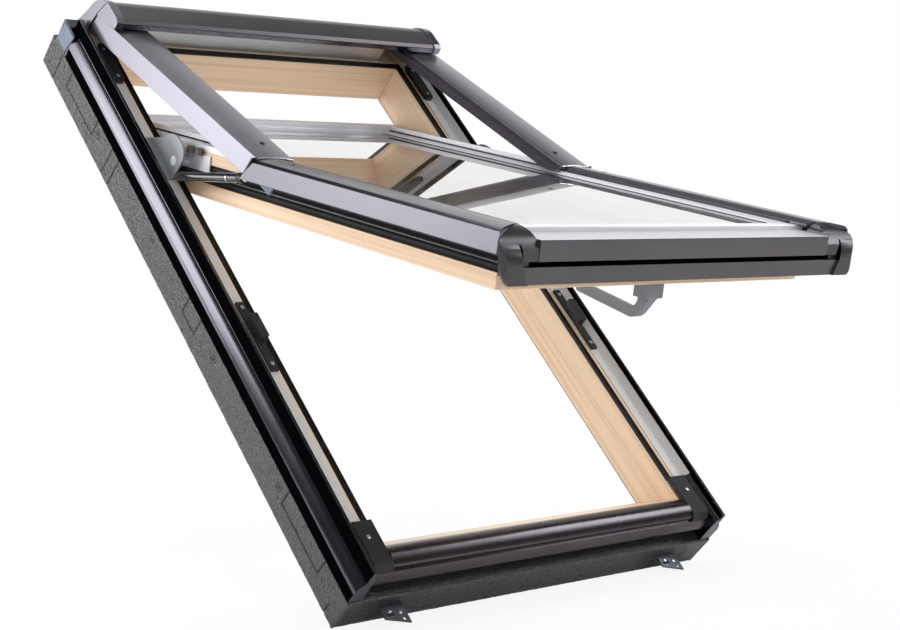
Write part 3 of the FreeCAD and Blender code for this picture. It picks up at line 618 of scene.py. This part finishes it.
def turned(name, profile, start, toward, material, steps=28):
    """Turned piece: pairs of radius and height carried round the axis from one point toward another."""
    radius, height = np.array(profile, float).T * MM
    axis = np.asarray(toward) - np.asarray(start)
    axis = axis / np.linalg.norm(axis)
    helper = np.array((1.0, 0.0, 0.0)) if abs(axis[0]) < 0.7 else np.array((0.0, 1.0, 0.0))
    first = np.cross(axis, helper)
    first /= np.linalg.norm(first)
    second = np.cross(axis, first)
    angle = np.linspace(0, 2 * math.pi, steps + 1)[:-1]
    ring = np.cos(angle)[:, None] * first + np.sin(angle)[:, None] * second
    points = np.asarray(start) + height[:, None, None] * axis + radius[:, None, None] * ring
    mesh = outward(surface(name, points, closed=True))
    return dress(link_piece(name, mesh), material)


def screw(name, place, spot, radius, material):
    """Pan-head screw with a round recess: its head on one spot, its axis out of the surface."""
    x, along, level = spot
    profile = [(0, -0.4), (radius, -0.4), (radius, 0.4), (radius * 0.82, 1.1), (radius * 0.42, 1.3),
               (radius * 0.36, 0.2), (0, 0.1)]
    foot, top = place(x, along, level), place(x, along, level + 10)
    return turned(name, profile, foot, top, material)


def uneven(rows, columns, size, seed):
    """Smooth random field: random values on a coarse grid, blended between its points."""
    random = np.random.default_rng(seed)
    coarse = random.random((int(rows / size) + 3, int(columns / size) + 3))
    down, along = np.arange(rows) / size, np.arange(columns) / size
    i, j = down.astype(int), along.astype(int)
    a, b = (down - i)[:, None], (along - j)[None, :]
    a, b = a * a * (3 - 2 * a), b * b * (3 - 2 * b)
    near = coarse[np.ix_(i, j)] * (1 - b) + coarse[np.ix_(i, j + 1)] * b
    far = coarse[np.ix_(i + 1, j)] * (1 - b) + coarse[np.ix_(i + 1, j + 1)] * b
    return near * (1 - a) + far * a


def from_segment(a, b, first, last):
    """Distance of each point of a plane from a straight piece of line."""
    way = np.subtract(last, first)
    part = ((a - first[0]) * way[0] + (b - first[1]) * way[1]) / np.dot(way, way)
    part = np.clip(part, 0, 1)
    return np.hypot(a - first[0] - part * way[0], b - first[1] - part * way[1])


def foam_face(name, length, place, material, step, seed, seams=(), rings=()):
    """Moulded face of the block: a grid whose depth adds a grain, small pits, seams and ejector rings.

    Seams are grooves about a polyline, a ring is a groove about a circle with a pit in it, and the face is
    rounded off towards its four edges. The share of a pit at each point is the attribute that the foam reads.
    """
    along = np.arange(0, length + step / 2, step)
    level = np.linspace(0, BLOCK_DEPTH, int(BLOCK_DEPTH / step) + 1)
    a, b = np.meshgrid(along, level, indexing="ij")
    rows, columns = a.shape
    grain = [uneven(rows, columns, size / step, seed + number) for number, size in enumerate(GRAIN_SIZES)]
    depth = 0.5 * grain[0] + 0.5 * grain[1]
    random = np.random.default_rng(seed + 2)
    count = int(length * PITS_PER_METRE * MM)
    low, high = PIT_MARGINS[0], BLOCK_DEPTH - PIT_MARGINS[1]
    spots = np.stack((random.uniform(0, length, count), random.uniform(low, high, count)), -1)
    pit = np.zeros_like(a)
    for spot, size in zip(spots, random.uniform(*PIT_SIZES, count)):
        reach = (spot[0] - PIT_REACH, spot[0] + PIT_REACH)
        near = slice(*np.clip(np.searchsorted(along, reach), 0, rows))
        gap = np.hypot(a[near] - spot[0], b[near] - spot[1])
        pit[near] = np.maximum(pit[near], PIT_SHARE * np.exp(-(gap / size) ** 2))
    for seam in seams:
        for first, last in zip(seam, seam[1:]):
            pit = np.maximum(pit, np.clip(SEAM_REACH - from_segment(a, b, first, last), 0, 1))
    for x, y in rings:
        gap = np.hypot(a - x, b - y)
        pit = np.maximum(pit, PIT_SHARE * np.exp(-((gap - RING_RADIUS) / RING_WIDTH) ** 2))
        pit = np.maximum(pit, np.clip(EJECTOR_SHARE - gap / EJECTOR_FALL, 0, 1))
    edge = np.minimum(np.minimum(a, length - a), np.minimum(b, BLOCK_DEPTH - b))
    round_off = np.clip(EDGE_ROUND - edge, 0, EDGE_ROUND)
    depth += PIT_DEPTH * pit + EDGE_ROUND - np.sqrt(EDGE_ROUND ** 2 - round_off ** 2)
    depth[edge <= 0] = FACE_ROOM + RIM_SINK
    mesh = surface(name, place(a, b, depth))
    mark = mesh.attributes.new("pit", "FLOAT", "POINT")
    mark.data.foreach_set("value", pit.ravel().astype(np.float32))
    return dress(link_piece(name, mesh, FOAM_CREASE), material)


def block_side(side):
    """How the points of the block's side face are placed: along it, up it, and into the block."""
    def place(along, level, depth):
        return on_window(side * (HALF - depth), along, level)
    return place


def block_foot(across, level, depth):
    """Points of the block's face at the foot: from its left end, up it, and into the block."""
    return on_window(across - HALF, depth, level)


def cover_band(name, side, material):
    """Rounded band of a frame cover: an arc about one centre, drawn from end to end of the cover."""
    turn = np.radians(np.linspace(*BAND_ANGLES, BAND_STEPS))
    x = BAND_CENTRE[0] + BAND_RADIUS * np.cos(turn)
    level = BAND_CENTRE[1] + BAND_RADIUS * np.sin(turn)
    points = on_window(side * x[:, None], np.array(BAND_ENDS), level[:, None])
    return dress(link_piece(name, surface(name, points[::side])), material)


def arm_edge(name, side, material):
    """Bright edge at an arm's foot: a small ellipse carried across the arm, along its crown's circle."""
    x = np.linspace(*CROWN_SIDES, CROWN_STEPS)
    crown = CROWN_LEVEL + np.sqrt(CROWN_RADIUS ** 2 - (x - CROWN_MID) ** 2)
    crown -= math.sqrt(CROWN_RADIUS ** 2 - CROWN_HALF ** 2) + EDGE_SINK
    angle = np.linspace(0, 2 * math.pi, EDGE_STEPS + 1)[:-1]
    points = on_arm(side * x[:, None], EDGE_ALONG + EDGE_SECTION[0] * np.cos(angle)[None],
                    crown[:, None] + EDGE_SECTION[1] * np.sin(angle)[None])
    return dress(link_piece(name, outward(surface(name, points, closed=True))), material)


class PineLook(bpy.types.PropertyGroup):
    wood: FloatVectorProperty(
        name="Wood", description="Middle tone of the pine", subtype="COLOR", min=0, max=1,
        default=(0.75, 0.54, 0.362))
    early_wood: FloatVectorProperty(
        name="Early wood", description="Palest streaks", subtype="COLOR", min=0, max=1,
        default=(0.785, 0.585, 0.41))
    late_wood: FloatVectorProperty(
        name="Late wood", description="Darkest streaks", subtype="COLOR", min=0, max=1,
        default=(0.695, 0.47, 0.30))
    lacquer: FloatProperty(
        name="Lacquer", description="How much clear lacquer lies on the wood", default=0.25, min=0, max=1,
        subtype="FACTOR")


class FoamLook(bpy.types.PropertyGroup):
    light: FloatVectorProperty(
        name="Light", description="Raised skin of the beads", subtype="COLOR", min=0, max=1,
        default=(0.030, 0.027, 0.033))
    # shade is painted shade in the pits between the beads and in the grain's low spots
    shade: FloatVectorProperty(
        name="Shade", description="Pits between the beads", subtype="COLOR", min=0, max=1,
        default=(0.004, 0.004, 0.005))
    grain: FloatProperty(
        name="Grain", description="Size of the skin's grain", default=0.0042, unit="LENGTH", min=0.0002)


class SheetLook(bpy.types.PropertyGroup):
    satin: FloatVectorProperty(
        name="Satin cover", description="Covers of the sash, the arms and the hood", subtype="COLOR",
        min=0, max=1, default=(0.094, 0.087, 0.096))
    bright: FloatVectorProperty(
        name="Bright cover", description="Metallic paint of the arms and side covers", subtype="COLOR",
        min=0, max=1, default=(0.108, 0.106, 0.122))
    gloss: FloatVectorProperty(
        name="Gloss cover", description="Covers of the frame", subtype="COLOR", min=0, max=1,
        default=(0.115, 0.110, 0.130))
    rough: FloatProperty(
        name="Satin", description="Roughness of the satin covers", default=0.36, min=0.05, max=1,
        subtype="FACTOR")


class StudioSetting(bpy.types.PropertyGroup):
    camera: FloatVectorProperty(
        name="Camera", description="Where the camera stands", subtype="TRANSLATION",
        default=(-1.4963, -1.8870, 0.5688))
    aim: FloatVectorProperty(
        name="Aim", description="Direction in which the camera looks", subtype="DIRECTION",
        default=(0.64442, 0.76227, -0.06059))
    roll: FloatProperty(
        name="Roll", description="Turn of the camera about its view", subtype="ANGLE",
        default=math.radians(0.155))
    lens: FloatProperty(
        name="Lens", description="Focal length on a 36 mm wide picture", default=69.56, min=10)
    key: FloatProperty(
        name="Key", description="Share of each softbox's own brightness", default=1.0, min=0)
    sky: FloatProperty(
        name="Sky", description="Strength of the even light", default=0.84, min=0)
    dark: FloatProperty(
        name="Dark side", description="Brightness that gloss mirrors away from the white wall",
        default=0.06, min=0)
    white: FloatProperty(
        name="White wall", description="Brightness that the glass mirrors from the wall", default=1.25,
        min=0)
    wall: FloatVectorProperty(
        name="Wall", description="Direction of the white wall behind the window", subtype="DIRECTION",
        default=(0.66, 0.74, 0.12))


class ROOFWINDOW_OT_timber(bpy.types.Operator):
    """Finishes the wooden rails of frame and sash"""
    bl_idname = "roofwindow.timber"
    bl_label = "Timber"

    def execute(self, context):
        look = context.scene.roofwindow_pine
        slope = pine("pine_frame_stile", PITCH, False, look)
        sash = pine("pine_sash_stile", PITCH - TURN, False, look)
        rail = pine("pine_rail", PITCH, True, look)
        sash_rail = pine("pine_sash_rail", PITCH - TURN, True, look)
        for part in SIDES:
            refine("frame_stile_" + part, slope, bevel=1.2)
            refine("sash_stile_" + part, sash, bevel=1.2)
        for part in ("frame_sill", "frame_head"):
            refine(part, rail, bevel=1.2)
        for part in ("sash_foot", "sash_head"):
            refine(part, sash_rail, bevel=1.2)
        return {"FINISHED"}


class ROOFWINDOW_OT_block(bpy.types.Operator):
    """Finishes the insulating block round the frame"""
    bl_idname = "roofwindow.block"
    bl_label = "Insulating block"

    def execute(self, context):
        skin = foam(context.scene.roofwindow_foam)
        foot_in = (1, 0, FACE_ROOM)
        for part, side in SIDES.items():
            side_in = (0, side * HALF, -side * FACE_ROOM)
            refine("block_" + part, skin, bevel=0, moves=(foot_in, side_in))
            step = NEAR_STEP if side < 0 else FAR_STEP
            foam_face("block_side_" + part, BLOCK_LENGTH, block_side(side), skin, step, SIDE_SEED, SIDE_SEAMS,
                      SIDE_RINGS)
        refine("block_bottom", skin, bevel=0, moves=(foot_in,))
        refine("block_top", skin, bevel=1.5)
        foam_face("block_foot", 2 * HALF, block_foot, skin, NEAR_STEP, FOOT_SEED)
        return {"FINISHED"}


class ROOFWINDOW_OT_covers(bpy.types.Operator):
    """Finishes the sheet covers of frame, sash, arms and hood"""
    bl_idname = "roofwindow.covers"
    bl_label = "Covers"

    def execute(self, context):
        look = context.scene.roofwindow_sheet
        satin = lacquer("satin_cover", look.satin, metal=0.55, rough=look.rough)
        bright = lacquer("bright_cover", look.bright, metal=1.0, rough=look.rough - 0.06)
        arm_colour = [ARM_GAIN * part for part in look.bright]
        arm_paint = lacquer("arm_cover", arm_colour, metal=1.0, rough=look.rough - 0.06)
        gloss = lacquer("gloss_cover", look.gloss, metal=1.0, rough=0.22)
        # painted shade: the sill's gloss is a darker copy of the frame covers' gloss, so that it mirrors less
        # of the white floor
        sill = lacquer("sill_gloss_painted_shade", (0.095, 0.084, 0.094), metal=1.0, rough=0.28)
        cap = lacquer("hood_cap_paint", (0.24, 0.236, 0.265), metal=1.0, rough=0.33)
        corner = lacquer("corner_cap_paint", (0.064, 0.059, 0.066), metal=0.6, rough=0.3)
        ribbed = lacquer("ribbed_side", (0.055, 0.049, 0.060), metal=0.0, rough=0.5, shine=0.06)
        black = painted_shade_black()

        # on the frame
        plastic = moulded("cap_plastic", (0.070, 0.069, 0.074))
        sheet = bare_metal("end_sheet", (0.16, 0.19, 0.25), rough=0.42, turn=PITCH, spangle=0.4)
        for part, side in SIDES.items():
            cover = refine("frame_cover_" + part, gloss)
            _, _, level, sideways = faces_of(cover, in_window)
            # painted shade: the cover's upright faces below and above its rounded band are painted dull
            # black, so they keep no sheen of the lamps
            paint_over(cover, black, (sideways > UPRIGHT) & ~within(level, BAND_LEVELS))
            cover_band("cover_band_" + part, side, gloss)
            ends = [side * end for end in END_SIDES]
            bar("end_sheet_" + part, END_SHEET, ends, across_window, sheet)
            bar("end_edge_" + part, END_EDGE, ends, across_window, plastic)
        refine("sill_cover", sill)
        sides_in = [(0, side * HALF, -side) for side in SIDES.values()]
        refine("head_cover", gloss, moves=sides_in)

        # on the sash, with the arms
        for part in SIDES:
            cover = refine("side_cover_" + part, bright, bevel=1.6, segments=4)
            x, _, _, sideways = faces_of(cover, in_sash)
            paint_over(cover, ribbed, (x < INNER_SLOPE) & (sideways < UPRIGHT))
            arm = refine("arm_" + part, arm_paint, bevel=2.2, segments=4)
            paint_over(arm, ribbed, faces_of(arm, in_window)[0] < ARM_INSIDE)
            wedge = refine("corner_cap_" + part, corner, bevel=2.5, segments=4)
            x, along, level, sideways = faces_of(wedge, in_sash)
            # painted shade: the groove between the corner cap's lobe and rim is painted dull black
            groove = within(along, CAP_GROOVE) & (level > CAP_GROOVE_LEVEL) & (x < CAP_GROOVE_SIDE)
            paint_over(wedge, black, groove & (sideways > LEANING))
        foot = refine("foot_profile", satin, bevel=0.5)
        _, along, level, _ = faces_of(foot, in_sash)
        # painted shade: the groove along the foot profile is painted dull black
        paint_over(foot, black, within(along, FOOT_GROOVE) & within(level, FOOT_GROOVE_LEVELS))
        foot_top = bare_metal("foot_top", (0.58, 0.58, 0.61), rough=0.35, turn=PITCH - TURN, metal=0.3)
        paint_over(foot, foot_top, (along > FOOT_TOP[0]) & (level > FOOT_TOP[1]))

        # the hood
        for part in SIDES:
            refine("hood_cap_" + part, cap)
        refine("hood_shell", satin, bevel=0.5)
        keep("hood_face", bare_metal("hood_wall_strip", (0.62, 0.62, 0.64), rough=0.4))
        strip = lacquer("lip_strip", (0.15, 0.146, 0.17), metal=1.0, rough=0.2)
        bar("hood_lip_strip", HOOD_STRIP, HOOD_STRIP_ENDS, across_window, strip)
        return {"FINISHED"}


class ROOFWINDOW_OT_glazing(bpy.types.Operator):
    """Finishes the double glazing, its bead and its spacer"""
    bl_idname = "roofwindow.glazing"
    bl_label = "Glazing"

    def execute(self, context):
        clear = pane((0.97, 0.985, 0.98))
        keep("glass_outer", clear)
        keep("glass_inner", clear)
        silver = bare_metal("bead_silver", (0.84, 0.84, 0.90), rough=0.35, turn=PITCH - TURN, metal=0.25)
        refine("glazing_bead", silver, bevel=1.2)
        bar("head_strip", HEAD_STRIP, HEAD_STRIP_ENDS, across_sash, silver)
        for part, side in SIDES.items():
            bar("side_strip_" + part, flip(SIDE_STRIP, side), STRIP_ENDS, along_sash, silver)
            bar("bead_slope_" + part, flip(BEAD_SLOPE, side), PANE_ENDS, along_sash, silver)
        keep("glass_spacer", bare_metal("spacer_metal", (0.55, 0.55, 0.58), rough=0.4))
        return {"FINISHED"}


class ROOFWINDOW_OT_fittings(bpy.types.Operator):
    """Finishes seals, strips, hinges, springs, catches, brackets and the handle"""
    bl_idname = "roofwindow.fittings"
    bl_label = "Fittings"

    def execute(self, context):
        rubber = moulded("seal_rubber", (0.008, 0.008, 0.009), rough=0.55)
        zinc = bare_metal("zinc_strip", (0.66, 0.65, 0.65), rough=0.5, turn=PITCH, spangle=0.15, metal=0.25)
        hinge_steel = bare_metal("hinge_steel", (0.72, 0.72, 0.78), rough=0.4, turn=PITCH - TURN, spangle=0.1,
                                 metal=0.3)
        plate = bare_metal("zinc_plate", (0.13, 0.14, 0.165), rough=0.4, turn=PITCH, spangle=0.5)
        cast = moulded("cast_grey", (0.20, 0.21, 0.22), rough=0.4, grain_size=0.0015, depth=0.0001)
        black = lacquer("tube_black", (0.018, 0.018, 0.021), metal=0.0, rough=0.2, coat=0.5)
        grey = lacquer("handle_grey", (0.20, 0.20, 0.225), metal=0.3, rough=0.4)
        refine("frame_seal", rubber, bevel=0.5)
        for part in SIDES:
            refine("rebate_strip_" + part, zinc, bevel=0.3)
            refine("corner_plate_" + part, rubber)
            refine("catch_" + part, rubber)
            refine("frame_hinge_" + part, cast)
            refine("sash_hinge_" + part, hinge_steel, bevel=0.5)
            refine("spring_" + part, black)
            refine("bracket_" + part, plate, bevel=0.3)
        refine("handle", grey, bevel=1.5)
        return {"FINISHED"}


class ROOFWINDOW_OT_seals(bpy.types.Operator):
    """Adds the lipped seals of the sash, the gasket round the pane and the rubber edges of the joints"""
    bl_idname = "roofwindow.seals"
    bl_label = "Seals"

    def execute(self, context):
        rubber = moulded("lip_rubber", (0.008, 0.008, 0.010), rough=0.4)
        pale = moulded("lip_painted_highlight", (0.13, 0.13, 0.15), rough=0.4)
        bright = bare_metal("bright_edge", (0.85, 0.85, 0.88), rough=0.25, turn=PITCH - ARM_TURN)
        for part, side in SIDES.items():
            bar("sash_seal_" + part, flip(SASH_SEAL, side), SEAL_ENDS, along_sash, rubber,
                SEAL_CREASE)
            # painted highlight: a pale bar along the seal's lip stands for the light that its edge catches
            bar("sash_seal_lip_" + part, flip(SEAL_LIP_HIGHLIGHT, side), SEAL_ENDS, along_sash, pale)
            bar("pane_gasket_" + part, flip(PANE_GASKET, side), PANE_ENDS, along_sash, rubber)
            bar("pane_line_" + part, flip(PANE_LINE, side), PANE_ENDS, along_sash, rubber)
            ends = [side * end for end in JOINT_SIDES]
            bar("joint_edge_" + part, JOINT_EDGE, ends, across_sash, rubber)
            for rib in SEAL_RIBS:
                outline = [(rib - RIB_FOOT[0], RIB_FOOT[1]), (rib + RIB_FOOT[0], RIB_FOOT[1]),
                           (rib + RIB_TOP[0], RIB_TOP[1]), (rib - RIB_TOP[0], RIB_TOP[1])]
                name = "frame_seal_rib_%s_%d" % (part, rib)
                bar(name, flip(outline, side), RIB_ENDS, along_window, rubber)
            arm_edge("arm_end_edge_" + part, side, bright)
        return {"FINISHED"}


class ROOFWINDOW_OT_small_parts(bpy.types.Operator):
    """Adds the screws, the collars of the springs, the blocks on the hinges and the small clips"""
    bl_idname = "roofwindow.small_parts"
    bl_label = "Small parts"

    def execute(self, context):
        dark = moulded("screw_black", (0.012, 0.012, 0.013), rough=0.35)
        steel = bare_metal("screw_steel", (0.72, 0.73, 0.78), rough=0.25)
        chrome = bare_metal("collar_steel", (0.55, 0.56, 0.60), rough=0.2)
        plastic = moulded("clip_grey", (0.10, 0.12, 0.16), rough=0.5)
        bronze = moulded("block_bronze", (0.11, 0.10, 0.085), rough=0.35)
        white = moulded("joint_white", (0.75, 0.75, 0.78), rough=0.3)
        spring_parts = (("collar", COLLAR, chrome), ("socket", SOCKET, dark), ("ball", BALL, white))
        for part, side in SIDES.items():
            for screws, finish in ((DARK_SCREWS, dark), (STEEL_SCREWS, steel)):
                for name, place, (x, along, level), radius in screws:
                    screw(name % part, place, (side * x, along, level), radius, finish)
            low = on_sash(side * SPRING_SIDE, *SPRING_LOW)
            high = on_window(side * SPRING_SIDE, *SPRING_HIGH)
            for name, profile, finish in spring_parts:
                turned("spring_%s_%s" % (name, part), profile, low, high, finish)
            for number, along in enumerate(HINGE_BLOCKS):
                foot, top = (on_sash(side * HINGE_BLOCK_SIDE, along, level) for level in HINGE_BLOCK_LEVELS)
                name = "hinge_block_%s_%d" % (part, number)
                turned(name, HINGE_BLOCK, foot, top, bronze, steps=6)
            ends = [side * end for end in CLIP_SIDES]
            bar("lip_clip_" + part, LIP_CLIP, ends, across_sash, plastic)
            bar("stay_plate_" + part, flip(STAY_PLATE, side), STAY_LEVELS, on_window, dark)
        for centre in BRACKETS:
            for number, (x, along) in enumerate(BRACKET_SCREWS):
                spot = (centre + x, along, BRACKET_TOP)
                name = "bracket_screw_%d_%d" % (centre, number)
                screw(name, on_window, spot, BRACKET_SCREW_RADIUS, steel)
        return {"FINISHED"}


def lamp(name, place, width, height, radiance, roll):
    """Soft area lamp that looks at the window, turned about its view by the roll."""
    light = bpy.data.lights.new(name, "AREA")
    light.shape = "RECTANGLE"
    light.size = width
    light.size_y = height
    light.energy = math.pi * radiance * width * height
    holder = bpy.data.objects.new(name, light)
    bpy.context.scene.collection.objects.link(holder)
    holder.location = place
    facing = (Vector(LAMP_AIM) - Vector(place)).to_track_quat("-Z", "Y").to_matrix()
    holder.rotation_euler = (facing @ Matrix.Rotation(roll, 3, "Z")).to_euler()


def pale_floor():
    """Round floor that keeps the shadow near the window and fades into plain white farther out."""
    ring = np.linspace(0, 2 * math.pi, FLOOR_CORNERS + 1)[:-1]
    reach = np.array([0.001, FLOOR_RADIUS])[:, None]
    level = np.full((2, FLOOR_CORNERS), CAD_BOX[0][2] - FLOOR_DROP)
    points = np.stack((reach * np.cos(ring), reach * np.sin(ring), level), -1)
    floor = link_piece("floor", surface("floor", points[::-1], closed=True))
    paint = Paint("pale_floor", Base_Color=(0.82, 0.82, 0.82), Roughness=0.9)
    far = paint.node("VectorMath", {"operation": "LENGTH"}, {0: paint.place()}, output="Value")
    shown = paint.between(far, *FADE_REACH, *FADE_SHARE)
    lit = Socket(paint, paint.shader.outputs[0])
    seen = paint.ray("Camera") + paint.ray("Transmission")
    paint.mix(seen * shown, lit, paint.node("Emission"), "Material Output")
    floor.data.materials.append(paint.material)


def world_light(scene, setting):
    """Even dim light with a white wall behind the window; the camera and the glass see plain white."""
    scene.world = bpy.data.worlds.new("studio_world")
    scene.world.use_nodes = True
    wires = Wires(scene.world.node_tree)
    where = wires.node("TexCoord", output="Generated")
    wall_way = {0: where, 1: tuple(setting.wall)}
    facing = wires.node("VectorMath", {"operation": "DOT_PRODUCT"}, wall_way, "Value")
    wall = wires.node("MapRange", {"interpolation_type": "SMOOTHSTEP"},
                      {"Value": facing, "From Min": WALL_EDGE[0], "From Max": WALL_EDGE[1],
                       "To Min": setting.dark - setting.sky, "To Max": setting.white - setting.sky})
    even = wires.tree.nodes["Background"]
    wires.feed(even.inputs["Color"], (1.0, 1.0, 1.0))
    wires.feed(even.inputs["Strength"], wires.ray("Glossy") * wall + setting.sky)
    white = wires.node("Background", None, {"Color": (1.0, 1.0, 1.0)})
    seen = wires.ray("Camera").larger(wires.ray("Transmission"))
    wires.mix(seen, Socket(wires, even.outputs[0]), white, "World Output")


def camera_view(scene, setting):
    """The photo's camera, from its place, direction, roll and lens."""
    view = bpy.data.cameras.new("camera")
    view.lens = setting.lens
    view.sensor_width = 36
    view.sensor_fit = "HORIZONTAL"
    camera = bpy.data.objects.new("camera", view)
    scene.collection.objects.link(camera)
    turn = Vector(setting.aim).to_track_quat("-Z", "Y").to_matrix().to_4x4()
    camera.matrix_world = Matrix.Translation(setting.camera) @ turn @ Matrix.Rotation(setting.roll, 4, "Z")
    scene.camera = camera


class ROOFWINDOW_OT_studio(bpy.types.Operator):
    """Sets the pale floor, the soft lamps and the camera"""
    bl_idname = "roofwindow.studio"
    bl_label = "Studio"

    def execute(self, context):
        scene = context.scene
        setting = scene.roofwindow_studio
        scene.view_settings.view_transform = "Standard"
        pale_floor()
        world_light(scene, setting)
        for name, place, width, height, radiance, roll in LAMPS:
            lamp(name, place, width, height, setting.key * radiance, math.radians(roll))
        camera_view(scene, setting)
        return {"FINISHED"}


class ROOFWINDOW_PT_panel(bpy.types.Panel):
    """Lists the steps that dress the window"""
    bl_idname = "ROOFWINDOW_PT_panel"
    bl_label = "Roof window"
    bl_space_type = "VIEW_3D"
    bl_region_type = "UI"
    bl_category = "Roof window"

    def draw(self, context):
        for operator in STEPS:
            self.layout.operator(operator.bl_idname)


STEPS = (ROOFWINDOW_OT_timber, ROOFWINDOW_OT_block, ROOFWINDOW_OT_covers, ROOFWINDOW_OT_glazing,
         ROOFWINDOW_OT_fittings, ROOFWINDOW_OT_seals, ROOFWINDOW_OT_small_parts, ROOFWINDOW_OT_studio)
LOOKS = {"roofwindow_pine": PineLook, "roofwindow_foam": FoamLook, "roofwindow_sheet": SheetLook,
         "roofwindow_studio": StudioSetting}


def register():
    for group in LOOKS.values():
        bpy.utils.register_class(group)
    for name, group in LOOKS.items():
        setattr(bpy.types.Scene, name, PointerProperty(type=group))
    for step in STEPS + (ROOFWINDOW_PT_panel,):
        bpy.utils.register_class(step)


def unregister():
    for step in reversed(STEPS + (ROOFWINDOW_PT_panel,)):
        bpy.utils.unregister_class(step)
    for name, group in LOOKS.items():
        delattr(bpy.types.Scene, name)
        bpy.utils.unregister_class(group)


def main():
    register()
    for step in STEPS:
        group, action = step.bl_idname.split(".")
        getattr(getattr(bpy.ops, group), action)()


if __name__ == "__main__":
    main()
